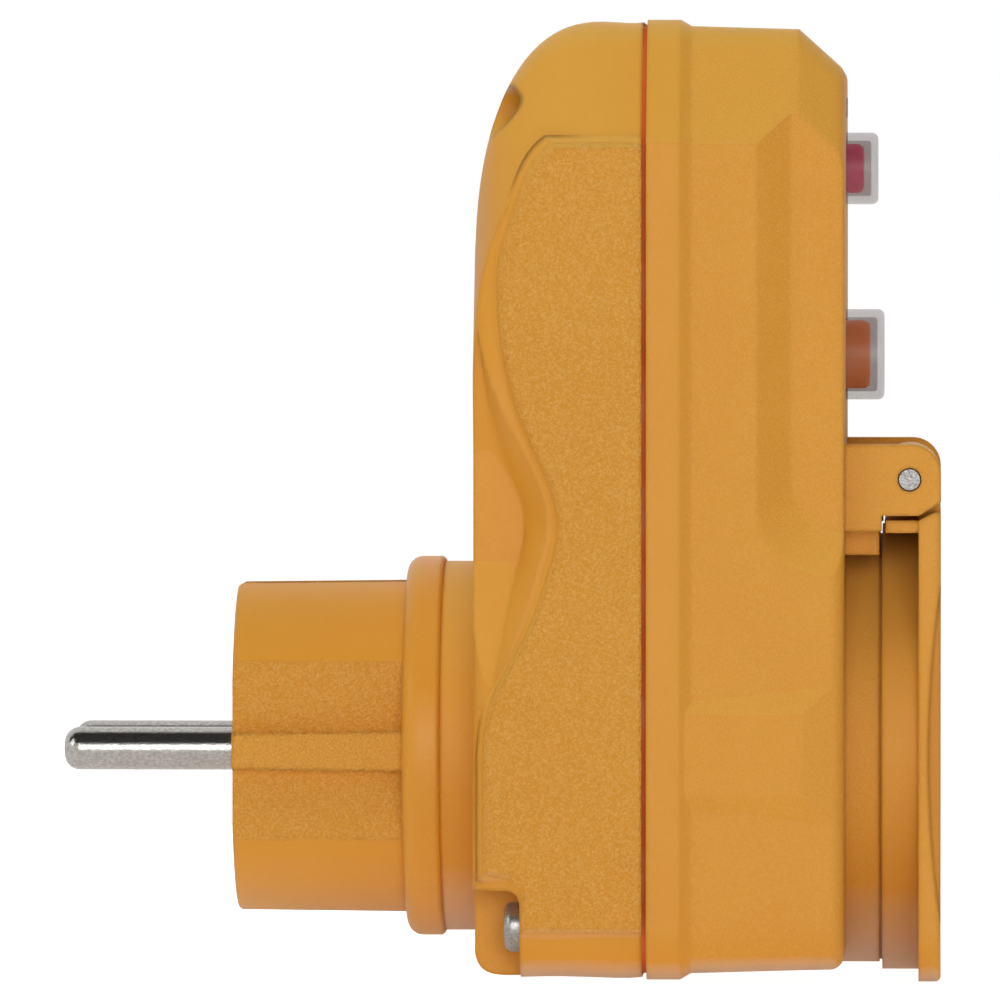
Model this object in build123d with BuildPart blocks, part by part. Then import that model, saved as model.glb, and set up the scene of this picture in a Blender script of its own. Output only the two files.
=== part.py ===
from build123d import *
from math import atan, cos, sin, sqrt, tan
import os

os.makedirs("parts", exist_ok=True)

# An adapter that guards a socket against residual current. Millimetres. X runs from the
# wall to the lid, Z is up, and the origin is the middle of the plug's face, on its axis.

# Standard plug and socket
PIN_DIAMETER = 4.8
PIN_LENGTH = 19.0
PIN_PITCH = 19.0
PLUG_RADIUS = 18.8
FLAT_LENGTH = 18.9
SEAL_DEPTH = 4.2
BOSS_DEPTH = 4.0
RECESS_RADIUS = 19.8
RECESS_DEPTH = 17.5

# Housing
HOUSING_WIDTH = 64.0
HOUSING_TOP = 80.5
HOUSING_DROP = 24.4
REAR_DEPTH = 18.8
FRONT_DEPTH = 21.9
WALL = 2.2
ROOF_RISE = 13.5
ROOF_LEAN = 7.1
ROOF_RADIUS = 5.0
KEEL_RADIUS = 5.5
BACK_RADIUS = 2.6
CROWN_DEPTH = 13.4
CROWN_RISE = 26.5
CROWN_POWER_SHARE = 2.2
PAD_PROUD = 0.9
PAD_CHAMFER = 1.0
SEAM_GAP = 0.5
RIM_PROUD = 0.25
RIM_DEPTH = 3.9
RIM_STEP = 0.7
RIM_SLOPE = 1.2
FRONT_DRAFT = 0.45
FRONT_WALL = 3.7
FRONT_RADIUS = 1.6
BROW_DEPTH = 5.0
BROW_DROP = 4.4

# Clearances
FIT = 0.05
CLEAR = 0.3
OVERRUN = 3.0
CUT_SHARE = 0.3

BACK = FLAT_LENGTH + SEAL_DEPTH + BOSS_DEPTH
SEAM = BACK + REAR_DEPTH
FRONT = SEAM + FRONT_DEPTH
BASE = -HOUSING_DROP
HOUSING_HEIGHT = HOUSING_TOP + HOUSING_DROP
CORE_HALF = HOUSING_WIDTH / 2 - PAD_PROUD
PANEL_HALF = HOUSING_WIDTH / 2 - RIM_STEP
FRONT_INSIDE = FRONT - WALL
REAR_INSIDE = BACK + WALL
PIN_Y = PIN_PITCH / 2


def housing_outline(half, low, high, inset=0):
    """Cross section of the housing, seen along X, drawn in all round by inset"""
    lean = atan(ROOF_LEAN / ROOF_RISE)
    side = half - inset
    shoulder = high - ROOF_RISE - inset * tan(lean / 2)
    roof = half - ROOF_LEAN - inset * (1 - sin(lean)) / cos(lean)
    with BuildSketch(Plane.XY) as outline:
        with BuildLine():
            Polyline(
                (-side, low + inset),
                (side, low + inset),
                (side, shoulder),
                (roof, high - inset),
                (-roof, high - inset),
                (-side, shoulder),
                close=True,
            )
        make_face()
        fillet(outline.vertices().group_by(Axis.Y)[0], radius=KEEL_RADIUS - inset)
        fillet(outline.vertices().group_by(Axis.Y)[-1], radius=ROOF_RADIUS - inset)
    return outline.sketch


def both_sides(piece, mode=Mode.ADD):
    """Work a piece of the left side, and its mirror image on the right"""
    add(piece, mode=mode)
    mirror(piece, about=Plane.XZ, mode=mode)


def rod(radius, start, end, y=0, z=0):
    """Solid cylinder along X from start to end"""
    with BuildPart() as cylinder:
        with BuildSketch(Plane.YZ.offset(start)):
            with Locations((y, z)):
                Circle(radius)
        extrude(amount=end - start)
    return cylinder.part


def slab(x_range, y_range, z_range):
    """Solid block between two corners"""
    with BuildPart() as block:
        with BuildSketch(Plane.XY.offset(z_range[0])):
            with Locations(((x_range[0] + x_range[1]) / 2, (y_range[0] + y_range[1]) / 2)):
                Rectangle(x_range[1] - x_range[0], y_range[1] - y_range[0])
        extrude(amount=z_range[1] - z_range[0])
    return block.part


def dished_cutter(edge, floor, edge_level, floor_level, close_x, top=None):
    """Cutter for a hollow in the left side, whose walls slope from its edge to its floor and up to top"""
    outer = []
    for (edge_x, edge_z), (floor_x, floor_z) in zip(edge, floor):
        outer.append((edge_x + CUT_SHARE * (edge_x - floor_x), edge_z + CUT_SHARE * (edge_z - floor_z)))
    outer_level = edge_level + CUT_SHARE * (edge_level - floor_level)
    with BuildPart() as cutter:
        for points, level in ((floor, floor_level), (outer, outer_level)):
            with BuildSketch(Plane.XZ.offset(level)):
                if top is None:
                    closing = [(close_x, points[0][1])]
                else:
                    closing = [(close_x, top), (points[0][0], top)]
                with BuildLine():
                    Spline(points)
                    Polyline([points[-1], (close_x, points[-1][1])] + closing + [points[0]])
                make_face()
        loft(ruled=True)
    return cutter.part


def on_rear(shares):
    """Points in X and Z, from shares of the depth behind the seam and of the height"""
    return [(SEAM - depth * REAR_DEPTH, BASE + rise * HOUSING_HEIGHT) for depth, rise in shares]


def on_front(shares):
    """Points in X and Z, from shares of the depth before the seam and of the height"""
    return [(SEAM + depth * FRONT_DEPTH, BASE + rise * HOUSING_HEIGHT) for depth, rise in shares]


# Housing screws: across, up, and where the head is seated
SCREW_SHANK_RADIUS = 1.7
SCREW_HEAD_RADIUS = 2.75
SCREW_HEAD_HEIGHT = 1.8
SCREW_LENGTH = 22.0
SCREW_SLOT = 0.7
LOW_SCREW_INSET = 5.6
LOW_SCREW_RISE = 5.5
LOW_SEAT_DEPTH = 5.2
LOW_BORE_RADIUS = 3.0
LOW_BOSS_RADIUS = 4.4
HIGH_SCREW_INSET = 8.5
HIGH_SCREW_DROP = 9.9
HIGH_SEAT_DEPTH = 9.9
HIGH_BORE_RADIUS = 2.9
HIGH_BOSS_RADIUS = 4.2
LOW_SCREW_Y = HOUSING_WIDTH / 2 - LOW_SCREW_INSET
LOW_SCREW_Z = BASE + LOW_SCREW_RISE
HIGH_SCREW_Y = HOUSING_WIDTH / 2 - HIGH_SCREW_INSET
HIGH_SCREW_Z = HOUSING_TOP - HIGH_SCREW_DROP
SCREW_PLACES = (
    (LOW_SCREW_Y, LOW_SCREW_Z, BACK + LOW_SEAT_DEPTH, LOW_BORE_RADIUS, LOW_BOSS_RADIUS),
    (HIGH_SCREW_Y, HIGH_SCREW_Z, BACK + HIGH_SEAT_DEPTH, HIGH_BORE_RADIUS, HIGH_BOSS_RADIUS),
)

# Rear housing: an inflated shell that falls away at its top and rounds in at its back

REAR_SECTION_SHARES = (0, 0.02, 0.07, 0.14, 0.35, 0.62, 1.0)
BOSS_WALL = 1.85
POCKET_WIDTH = 9.1
POCKET_DEPTH = 5.2
POCKET_HEIGHT = 9.7
POCKET_ROUND = 1.6
SCOOP_DEPTH = 4.1
BACKING_DEPTH = 10.3
BOSS_RADIUS = PLUG_RADIUS + BOSS_WALL
POCKET_INNER = CORE_HALF - POCKET_WIDTH
POCKET_TOP = BASE + POCKET_HEIGHT
SCOOP_FLOOR = CORE_HALF - SCOOP_DEPTH
SCOOP_BACKING = SCOOP_FLOOR - WALL
PAD_CURVE_SHARES = (
    (0.509, 0.868), (0.628, 0.845), (0.729, 0.801), (0.799, 0.762), (0.825, 0.707), (0.782, 0.641),
    (0.665, 0.571), (0.509, 0.507), (0.474, 0.470), (0.509, 0.437), (0.695, 0.349), (0.852, 0.297),
    (0.904, 0.255), (0.910, 0.222),
)
PAD_FOOT_SHARES = ((0.910, 0.113), (0.758, 0.109), (0.686, 0.095), (0.686, 0.053))
PAD_RIM_SHARES = PAD_CURVE_SHARES + PAD_FOOT_SHARES
SCOOP_EDGE_SHARES = (
    (0.987, 0.712), (0.926, 0.641), (0.822, 0.589), (0.676, 0.541), (0.582, 0.498), (0.567, 0.472),
    (0.604, 0.439), (0.697, 0.386), (0.790, 0.344), (0.883, 0.302),
)
SCOOP_FLOOR_SHARES = (
    (0.888, 0.551), (0.845, 0.541), (0.797, 0.528), (0.757, 0.515), (0.722, 0.497), (0.705, 0.480),
    (0.702, 0.465), (0.710, 0.452), (0.723, 0.443), (0.737, 0.435),
)


def back_cut(reach):
    """How far the sides are rounded in at a distance from the back"""
    if reach >= BACK_RADIUS:
        return 0
    return BACK_RADIUS - sqrt(BACK_RADIUS**2 - (BACK_RADIUS - reach) ** 2)


def crown(reach, inset):
    """Height of the top at a distance from the back: a superellipse that ends level"""
    level = HOUSING_TOP - CROWN_RISE
    share = min(reach / (CROWN_DEPTH - inset), 1)
    rise = (1 - (1 - share) ** CROWN_POWER_SHARE) ** (1 / CROWN_POWER_SHARE)
    return level + inset + (CROWN_RISE - inset) * rise


def rear_form(inset):
    """Rear half of the housing as a solid, drawn in all round by inset"""
    with BuildPart() as form:
        for share in REAR_SECTION_SHARES:
            reach = share * (REAR_DEPTH - SEAM_GAP / 2 - inset)
            cut = back_cut(reach)
            with BuildSketch(Plane.YZ.offset(BACK + inset + reach)):
                add(housing_outline(CORE_HALF - cut, BASE + cut, crown(reach, inset), inset))
        loft()
    return form.part


def side_pad():
    """Raised grained pad on the left side, whose edge slopes down to the shell"""
    foot_level = CORE_HALF - CLEAR
    spread = PAD_CHAMFER * (PAD_PROUD + CLEAR) / PAD_PROUD
    low = PAD_FOOT_SHARES[-1][1]
    middle = (PAD_CURVE_SHARES[0][1] + low) / 2
    with BuildPart() as pad:
        for level, grow in ((foot_level, spread), (HOUSING_WIDTH / 2, 0)):
            rim = []
            for (x, z), (depth, rise) in zip(on_rear(PAD_RIM_SHARES), PAD_RIM_SHARES):
                rim.append((x - grow, z + grow * (rise - middle) / (middle - low)))
            curve = rim[: len(PAD_CURVE_SHARES)]
            end = SEAM - SEAM_GAP / 2
            with BuildSketch(Plane.XZ.offset(level)):
                with BuildLine():
                    Spline(curve)
                    Polyline(rim[len(curve) - 1 :] + [(end, rim[-1][1]), (end, rim[0][1]), rim[0]])
                make_face()
        loft(ruled=True)
    return pad.part


def screw_pocket():
    """Cutter for the notch in the lower back corner on the left side, where a screw's head lies open"""
    with BuildPart() as cutter:
        with BuildSketch(Plane.XZ.offset(POCKET_INNER)) as opening:
            with BuildLine():
                Polyline(
                    (BACK - OVERRUN, BASE - OVERRUN),
                    (BACK + POCKET_DEPTH, BASE - OVERRUN),
                    (BACK + POCKET_DEPTH, POCKET_TOP),
                    (BACK - OVERRUN, POCKET_TOP),
                    close=True,
                )
            make_face()
            corner = opening.vertices().sort_by(lambda v: v.X + v.Z)[-1]
            fillet(corner, radius=POCKET_ROUND)
        extrude(amount=HOUSING_WIDTH / 2 + OVERRUN - POCKET_INNER)
    return cutter.part


with BuildPart() as rear_bosses:
    for y, z, seat, bore, boss in SCREW_PLACES:
        both_sides(rod(boss, BACK, SEAM - SEAM_GAP / 2, -y, z))
    backing_top = BASE + SCOOP_EDGE_SHARES[0][1] * HOUSING_HEIGHT + WALL
    backing_low = BASE + SCOOP_EDGE_SHARES[-1][1] * HOUSING_HEIGHT - WALL
    backing_width = (-HOUSING_WIDTH / 2, -SCOOP_BACKING)
    both_sides(slab((BACK, BACK + BACKING_DEPTH), backing_width, (backing_low, backing_top)))
    lining_width = (-HOUSING_WIDTH / 2, WALL - POCKET_INNER)
    both_sides(slab((BACK, BACK + POCKET_DEPTH + WALL), lining_width, (BASE, POCKET_TOP + WALL)))
    add(rear_form(CLEAR), mode=Mode.INTERSECT)

with BuildPart() as rear_housing:
    add(rear_form(0))
    add(rear_form(WALL), mode=Mode.SUBTRACT)
    add(rear_bosses.part)
    both_sides(side_pad())
    add(rod(BOSS_RADIUS, BACK - BOSS_DEPTH, BACK + WALL / 2))
    add(rod(PLUG_RADIUS + FIT, BACK - BOSS_DEPTH - OVERRUN, REAR_INSIDE + OVERRUN), mode=Mode.SUBTRACT)
    scoop = dished_cutter(
        on_rear(SCOOP_EDGE_SHARES),
        on_rear(SCOOP_FLOOR_SHARES),
        CORE_HALF,
        SCOOP_FLOOR,
        BACK - OVERRUN,
    )
    both_sides(scoop, Mode.SUBTRACT)
    both_sides(screw_pocket(), Mode.SUBTRACT)
    for y, z, seat, bore, boss in SCREW_PLACES:
        both_sides(rod(bore, BACK - OVERRUN, seat, -y, z), Mode.SUBTRACT)
        both_sides(rod(SCREW_SHANK_RADIUS + CLEAR, seat - CLEAR, SEAM + CLEAR, -y, z), Mode.SUBTRACT)

rear_housing.part.label = "rear_housing"
export_step(rear_housing.part, "parts/rear_housing.step")

# Lid levels, which the front of the housing follows
COLLAR_LENGTH = 3.8
LID_GAP = 8.15
LID_THICKNESS = 2.45
LID_MARGIN = 1.7
LID_FOOT = 0.2
LID_RISE = 0.85
LID_BEVEL = 1.3
SKIRT_RADIUS = 24.9
SKIRT_WALL = 1.9
PIN_SETBACK = 1.0
PIN_LIFT = 4.5
HINGE_PIN_RADIUS = 1.25
KNUCKLE_RADIUS = 3.4
EAR_INNER = 22.0
EAR_WIDTH = 4.9
EAR_SPAN = 7.8
EAR_GAP = 0.55
EAR_RADIUS = 3.2
EAR_BEVEL = 1.5
EAR_FOOT = 1.7
SILL_DROP = 0.7
COLLAR_END = FRONT + COLLAR_LENGTH
SKIRT_START = COLLAR_END + CLEAR
LID_BACK = FRONT + LID_GAP
LID_FRONT = LID_BACK + LID_THICKNESS
LID_HALF = SKIRT_RADIUS + LID_MARGIN
LID_LOW = -SKIRT_RADIUS - LID_FOOT
LID_HIGH = SKIRT_RADIUS + LID_RISE
PIN_AXIS_X = LID_BACK - PIN_SETBACK
PIN_AXIS_Z = LID_HIGH + PIN_LIFT
EAR_OUTER = EAR_INNER + EAR_WIDTH
EAR_LOW = LID_HIGH + EAR_GAP
EAR_HIGH = EAR_LOW + EAR_SPAN

# Levels of the socket and of the circuit board
FLANGE_THICKNESS = 2.4
FLANGE_WIDTH = 2.8
INSERT_WALL = 1.4
FLOOR_THICKNESS = 2.15
BOARD_SETBACK = 2.9
BOARD_THICKNESS = 1.6
BOARD_HALF = 18.0
BOARD_LOW = 29.0
BOARD_HIGH = 75.0
BOARD_POST_Y = 14.8
BOARD_POST_LOW = 32.5
BOARD_POST_HIGH = 71.5
BOARD_POST_RADIUS = 2.6
BOARD_SCREW_RADIUS = 1.2
BOARD_SCREW_LENGTH = 8.0
BOARD_HEAD_RADIUS = 2.3
BOARD_HEAD_HEIGHT = 1.4
BOARD_BACK = SEAM - BOARD_SETBACK
BOARD_FRONT = BOARD_BACK + BOARD_THICKNESS
RECESS_FLOOR = LID_BACK - CLEAR - RECESS_DEPTH
SOCKET_BACK = RECESS_FLOOR - FLOOR_THICKNESS
FLANGE_START = SOCKET_BACK - FLANGE_THICKNESS
INSERT_RADIUS = RECESS_RADIUS + INSERT_WALL
FLANGE_RADIUS = INSERT_RADIUS + FLANGE_WIDTH

# Buttons and window on the front face, all on the middle line
TEST_Z = 64.5
TEST_CAP_RADIUS = 4.0
TEST_CAP_RISE = 3.6
TEST_PLUNGER_RADIUS = 2.75
TEST_TRAVEL = 1.5
RESET_Z = 43.75
RESET_CAP_RADIUS = 5.05
RESET_CAP_RISE = 4.3
RESET_PLUNGER_RADIUS = 3.8
RESET_TRAVEL = 2.0
CAP_WALL = 0.9
CAP_TOP = 0.8
CAP_FLANGE = 1.0
CAP_FLANGE_THICKNESS = 1.0
CAP_ROUND = 0.8
WINDOW_Z = 71.3
WINDOW_RADIUS = 1.1
WINDOW_TAIL = 0.8
BUTTONS = (
    (TEST_Z, TEST_CAP_RADIUS, TEST_CAP_RISE, TEST_PLUNGER_RADIUS, TEST_TRAVEL),
    (RESET_Z, RESET_CAP_RADIUS, RESET_CAP_RISE, RESET_PLUNGER_RADIUS, RESET_TRAVEL),
)

# Front housing: a full rim at the seam, then sides a step lower with raised bands and hollows
COLLAR_STEP = 0.8
TUBE_WALL = 2.3
RIM_GAP = 0.6
RIM_SETBACK = 1.2
LIP_LENGTH = 0.6
BAND_LOW = -4.4
BAND_HIGH = 4.6
BAND_SPREAD = 3.2
BAND_SETBACK = 1.2
BAND_SLOPE = 3.3
FRONT_SCOOP_DEPTH = 2.1
LENS_RELIEF = 0.2
COLLAR_RADIUS = SKIRT_RADIUS - COLLAR_STEP
TUBE_RADIUS = INSERT_RADIUS + TUBE_WALL
RIM_RADIUS = SKIRT_RADIUS - SKIRT_WALL - RIM_GAP
RIM_END = LID_BACK - RIM_SETBACK
LIP_RADIUS = COLLAR_RADIUS - CLEAR
BAND_END = FRONT - BAND_SETBACK
FRONT_SCOOP_FLOOR = PANEL_HALF - FRONT_SCOOP_DEPTH
FRONT_EDGE_SHARES = (
    (0.566, 0.500), (0.573, 0.480), (0.605, 0.459), (0.685, 0.435), (0.859, 0.419), (1.150, 0.412),
)
FRONT_FLOOR_SHARES = (
    (0.731, 0.520), (0.740, 0.508), (0.779, 0.492), (0.830, 0.478), (0.900, 0.470), (1.150, 0.462),
)


def front_form():
    """Front half of the housing as a solid: rim, step, drafted sides and a sloping brow"""
    half = HOUSING_WIDTH / 2
    low = BASE - RIM_PROUD
    high = HOUSING_TOP + RIM_PROUD
    rim_end = SEAM + RIM_DEPTH
    side_draft = RIM_STEP + FRONT_DRAFT
    sections = (
        (SEAM + SEAM_GAP / 2, 0, 0),
        (rim_end, 0, 0),
        (rim_end + RIM_SLOPE, RIM_STEP, 0),
        (FRONT - BROW_DEPTH, side_draft - FRONT_DRAFT * BROW_DEPTH / FRONT_DEPTH, 0),
        (FRONT, side_draft, BROW_DROP),
    )
    with BuildPart() as form:
        for x, inset, drop in sections:
            with BuildSketch(Plane.YZ.offset(x)):
                add(housing_outline(half, low, high - drop, inset))
        loft(ruled=True)
        fillet(form.faces().sort_by(Axis.X)[-1].edges(), radius=FRONT_RADIUS)
    return form.part


def front_cavity():
    """Room inside the front half"""
    half = HOUSING_WIDTH / 2
    sections = ((SEAM - SEAM_GAP, WALL, 0), (FRONT_INSIDE, FRONT_WALL, BROW_DROP))
    with BuildPart() as cavity:
        for x, inset, drop in sections:
            with BuildSketch(Plane.YZ.offset(x)):
                add(housing_outline(half, BASE, HOUSING_TOP - drop, inset))
        loft(ruled=True)
    return cavity.part


def hinge_ear():
    """Ear on the left side that holds the lid's pin"""
    root = FRONT - WALL
    tip = LID_FRONT
    foot = COLLAR_END + CLEAR
    with BuildPart() as ear:
        with BuildSketch(Plane.XZ.offset(EAR_INNER)):
            with BuildLine():
                Polyline(
                    (root, EAR_HIGH),
                    (tip, EAR_HIGH),
                    (tip, EAR_LOW + EAR_BEVEL),
                    (LID_BACK, EAR_LOW),
                    (foot, EAR_LOW),
                    (foot, EAR_LOW - EAR_FOOT),
                    (root, EAR_LOW - EAR_FOOT),
                    close=True,
                )
            make_face()
        extrude(amount=EAR_OUTER - EAR_INNER)
        corner = ear.edges().filter_by(Axis.Y).sort_by(lambda e: e.center().X + e.center().Z)[-1]
        fillet(corner, radius=EAR_RADIUS)
    return ear.part


def raised_band():
    """Raised band along the left side, which slopes down above, below and to the front"""
    start = SEAM + RIM_DEPTH - CLEAR
    foot_level = PANEL_HALF - FRONT_DRAFT - FIT
    top_level = HOUSING_WIDTH / 2 - CLEAR
    with BuildPart() as band:
        for level, end, grow in ((foot_level, BAND_END, BAND_SPREAD), (top_level, BAND_END - BAND_SLOPE, 0)):
            with BuildSketch(Plane.XZ.offset(level)):
                with BuildLine():
                    Polyline(
                        (start, BAND_LOW - grow),
                        (end, BAND_LOW - grow),
                        (end, BAND_HIGH + grow),
                        (start, BAND_HIGH + grow),
                        close=True,
                    )
                make_face()
        loft(ruled=True)
    return band.part


def ring(outer, inner, start, end, y=0, z=0):
    """Tube along X from start to end"""
    with BuildPart() as tube:
        with BuildSketch(Plane.YZ.offset(start)):
            with Locations((y, z)):
                Circle(outer)
                Circle(inner, mode=Mode.SUBTRACT)
        extrude(amount=end - start)
    return tube.part


def cross_rod(radius, x, z, inner, outer):
    """Solid cylinder along Y, from outer on the left to inner, where minus inner is on the right"""
    with BuildPart() as cylinder:
        with BuildSketch(Plane.XZ.offset(inner)):
            with Locations((x, z)):
                Circle(radius)
        extrude(amount=outer - inner)
    return cylinder.part


board_posts = [(y, z) for y in (-BOARD_POST_Y, BOARD_POST_Y) for z in (BOARD_POST_LOW, BOARD_POST_HIGH)]

with BuildPart() as front_inside:
    for y, z, seat, bore, boss in SCREW_PLACES:
        both_sides(rod(boss, SEAM + SEAM_GAP / 2, seat + SCREW_LENGTH + WALL, -y, z))
    for y, z in board_posts:
        add(rod(BOARD_POST_RADIUS, BOARD_FRONT, FRONT_INSIDE + CLEAR, y, z))
    add(front_form(), mode=Mode.INTERSECT)

with BuildPart() as front_housing:
    add(front_form())
    add(front_cavity(), mode=Mode.SUBTRACT)
    add(front_inside.part)
    both_sides(raised_band())
    both_sides(hinge_ear())
    both_sides(
        dished_cutter(
            on_front(FRONT_EDGE_SHARES),
            on_front(FRONT_FLOOR_SHARES),
            PANEL_HALF - FRONT_DRAFT / 2,
            FRONT_SCOOP_FLOOR,
            FRONT + 2 * OVERRUN,
            HOUSING_TOP + OVERRUN,
        ),
        Mode.SUBTRACT,
    )
    add(rod(TUBE_RADIUS, FLANGE_START + FLANGE_THICKNESS, FRONT_INSIDE + CLEAR))
    add(rod(COLLAR_RADIUS, FRONT_INSIDE, COLLAR_END))
    sill = (COLLAR_RADIUS - WALL, EAR_LOW - SILL_DROP)
    add(slab((FRONT_INSIDE, COLLAR_END), (-EAR_INNER - CLEAR, EAR_INNER + CLEAR), sill))
    add(rod(LIP_RADIUS, COLLAR_END, COLLAR_END + LIP_LENGTH))
    add(rod(RIM_RADIUS, COLLAR_END, RIM_END))
    add(rod(INSERT_RADIUS + FIT, FLANGE_START, LID_FRONT), mode=Mode.SUBTRACT)
    for z, cap_radius, rise, plunger_radius, travel in BUTTONS:
        add(rod(cap_radius + FIT, FRONT_INSIDE - CLEAR, FRONT + OVERRUN, 0, z), mode=Mode.SUBTRACT)
    add(rod(WINDOW_RADIUS + FIT, FRONT_INSIDE - CLEAR, FRONT + OVERRUN, 0, WINDOW_Z), mode=Mode.SUBTRACT)
    ear_bore = cross_rod(HINGE_PIN_RADIUS + FIT, PIN_AXIS_X, PIN_AXIS_Z, EAR_INNER - CLEAR, EAR_OUTER + CLEAR)
    both_sides(ear_bore, Mode.SUBTRACT)
    for y, z, seat, bore, boss in SCREW_PLACES:
        both_sides(rod(SCREW_SHANK_RADIUS, SEAM, seat + SCREW_LENGTH, -y, z), Mode.SUBTRACT)
    for y, z in board_posts:
        add(rod(BOARD_SCREW_RADIUS, BOARD_BACK, BOARD_BACK + BOARD_SCREW_LENGTH, y, z), mode=Mode.SUBTRACT)

front_housing.part.label = "front_housing"
export_step(front_housing.part, "parts/front_housing.step")

# Seal in the seam

GASKET_INSET = 0.45
GASKET_WIDTH = 1.6

with BuildPart() as housing_gasket:
    for inset, mode in ((GASKET_INSET, Mode.ADD), (GASKET_INSET + GASKET_WIDTH, Mode.SUBTRACT)):
        section = housing_outline(CORE_HALF + GASKET_INSET, BASE, HOUSING_TOP, inset)
        with BuildSketch(Plane.YZ.offset(SEAM - SEAM_GAP / 2)):
            add(section)
        extrude(amount=SEAM_GAP, mode=mode)

housing_gasket.part.label = "housing_gasket"
export_step(housing_gasket.part, "parts/housing_gasket.step")

# Screws of the housing and of the board


def pan_screw(head_radius, head_height, shank_radius, length, slot, seat, y, z):
    """Cross-head screw along X, whose head is seated at seat and faces the back"""
    slot_depth = head_height / 2
    with BuildPart() as screw:
        with BuildSketch(Plane.YZ.offset(seat)):
            with Locations((y, z)):
                Circle(head_radius)
        extrude(amount=-head_height)
        fillet(screw.edges().sort_by(Axis.X)[0], radius=head_height / 2)
        add(rod(shank_radius, seat, seat + length, y, z))
        with BuildSketch(Plane.YZ.offset(seat - head_height)):
            with Locations((y, z)):
                Rectangle(slot, 2 * shank_radius)
                Rectangle(2 * shank_radius, slot)
        extrude(amount=slot_depth, mode=Mode.SUBTRACT)
    return screw.part


with BuildPart() as housing_screws:
    for y, z, seat, bore, boss in SCREW_PLACES:
        both_sides(
            pan_screw(
                SCREW_HEAD_RADIUS,
                SCREW_HEAD_HEIGHT,
                SCREW_SHANK_RADIUS - FIT,
                SCREW_LENGTH - CLEAR,
                SCREW_SLOT,
                seat,
                -y,
                z,
            )
        )

housing_screws.part.label = "housing_screws"
export_step(housing_screws.part, "parts/housing_screws.step")

with BuildPart() as board_screws:
    for y, z in board_posts:
        add(
            pan_screw(
                BOARD_HEAD_RADIUS,
                BOARD_HEAD_HEIGHT,
                BOARD_SCREW_RADIUS - FIT,
                BOARD_SCREW_LENGTH - CLEAR,
                SCREW_SLOT,
                BOARD_BACK,
                y,
                z,
            )
        )

board_screws.part.label = "board_screws"
export_step(board_screws.part, "parts/board_screws.step")

# Plug: a round body with a flat and a guide rib on each side, and earth grooves above and below

PLUG_DRAFT = 0.2
PLUG_FLAT_DEPTH = 2.8
PLUG_SOLE_STEP = 1.2
PLUG_SOLE_THICKNESS = 2.0
RIB_FACE_WIDTH = 3.7
RIB_FOOT_WIDTH = 4.3
RIB_SHORT = 0.35
PLUG_EDGE_RADIUS = 0.7
GROOVE_HALF = 3.8
GROOVE_DEPTH = 2.4
EARTH_STRIP_HALF = 3.1
EARTH_STRIP_THICKNESS = 0.8
EARTH_STRIP_SINK = 0.9
EARTH_STRIP_START = 2.0
PIN_TIP = 1.7
PIN_ROOT_RADIUS = 2.0
PIN_TAIL_RADIUS = 1.5
PIN_TAIL = 2.7
SEAL_WALL = 2.4
SEAL_ROUND = 1.7
PLUG_FACE_RADIUS = PLUG_RADIUS - PLUG_DRAFT
PLUG_FLAT = PLUG_RADIUS - PLUG_FLAT_DEPTH
PLUG_SOLE_RADIUS = PLUG_RADIUS + PLUG_SOLE_STEP
SEAL_RADIUS = PLUG_RADIUS + SEAL_WALL
PLUG_END = REAR_INSIDE + PLUG_SOLE_THICKNESS


def flat_cutter(half_width):
    """Cutter for the flat on the left side of the plug, on one side of its guide rib"""
    with BuildPart() as cutter:
        with BuildSketch(Plane.XZ.offset(PLUG_FLAT)):
            with BuildLine():
                Polyline(
                    (-OVERRUN, RIB_FACE_WIDTH / 2),
                    (FLAT_LENGTH, RIB_FOOT_WIDTH / 2),
                    (FLAT_LENGTH, PLUG_RADIUS),
                    (-OVERRUN, PLUG_RADIUS),
                    close=True,
                )
            make_face()
        extrude(amount=half_width)
    return cutter.part


with BuildPart() as plug_body:
    with BuildSketch(Plane.YZ):
        Circle(PLUG_FACE_RADIUS)
    with BuildSketch(Plane.YZ.offset(FLAT_LENGTH)):
        Circle(PLUG_RADIUS)
    loft(ruled=True)
    fillet(plug_body.edges().sort_by(Axis.X)[0], radius=PLUG_EDGE_RADIUS)
    add(rod(PLUG_RADIUS, FLAT_LENGTH, PLUG_END))
    add(rod(PLUG_SOLE_RADIUS, REAR_INSIDE, PLUG_END))
    cutter = flat_cutter(PLUG_RADIUS)
    both_sides(cutter, Mode.SUBTRACT)
    both_sides(mirror(cutter, about=Plane.XY, mode=Mode.PRIVATE), Mode.SUBTRACT)
    both_sides(
        slab(
            (-OVERRUN, FLAT_LENGTH),
            (-PLUG_RADIUS - OVERRUN, RIB_SHORT - PLUG_FACE_RADIUS),
            (-RIB_FOOT_WIDTH, RIB_FOOT_WIDTH),
        ),
        Mode.SUBTRACT,
    )
    for side in (-1, 1):
        groove = sorted((side * (PLUG_RADIUS - GROOVE_DEPTH), side * (PLUG_RADIUS + OVERRUN)))
        add(slab((-OVERRUN, PLUG_END + OVERRUN), (-GROOVE_HALF, GROOVE_HALF), groove), mode=Mode.SUBTRACT)
        add(rod(PIN_ROOT_RADIUS, -OVERRUN, PLUG_END + OVERRUN, side * PIN_Y), mode=Mode.SUBTRACT)

plug_body.part.label = "plug_body"
export_step(plug_body.part, "parts/plug_body.step")

with BuildPart() as plug_seal_ring:
    add(ring(SEAL_RADIUS, PLUG_RADIUS + FIT, FLAT_LENGTH, FLAT_LENGTH + SEAL_DEPTH))
    front_rim = edges().filter_by(GeomType.CIRCLE).group_by(Axis.X)[0].sort_by(SortBy.RADIUS)[-1]
    fillet(front_rim, radius=SEAL_ROUND)
    back_rim = edges().filter_by(GeomType.CIRCLE).group_by(Axis.X)[-1].sort_by(SortBy.RADIUS)[-1]
    chamfer(back_rim, length=CLEAR)

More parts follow.
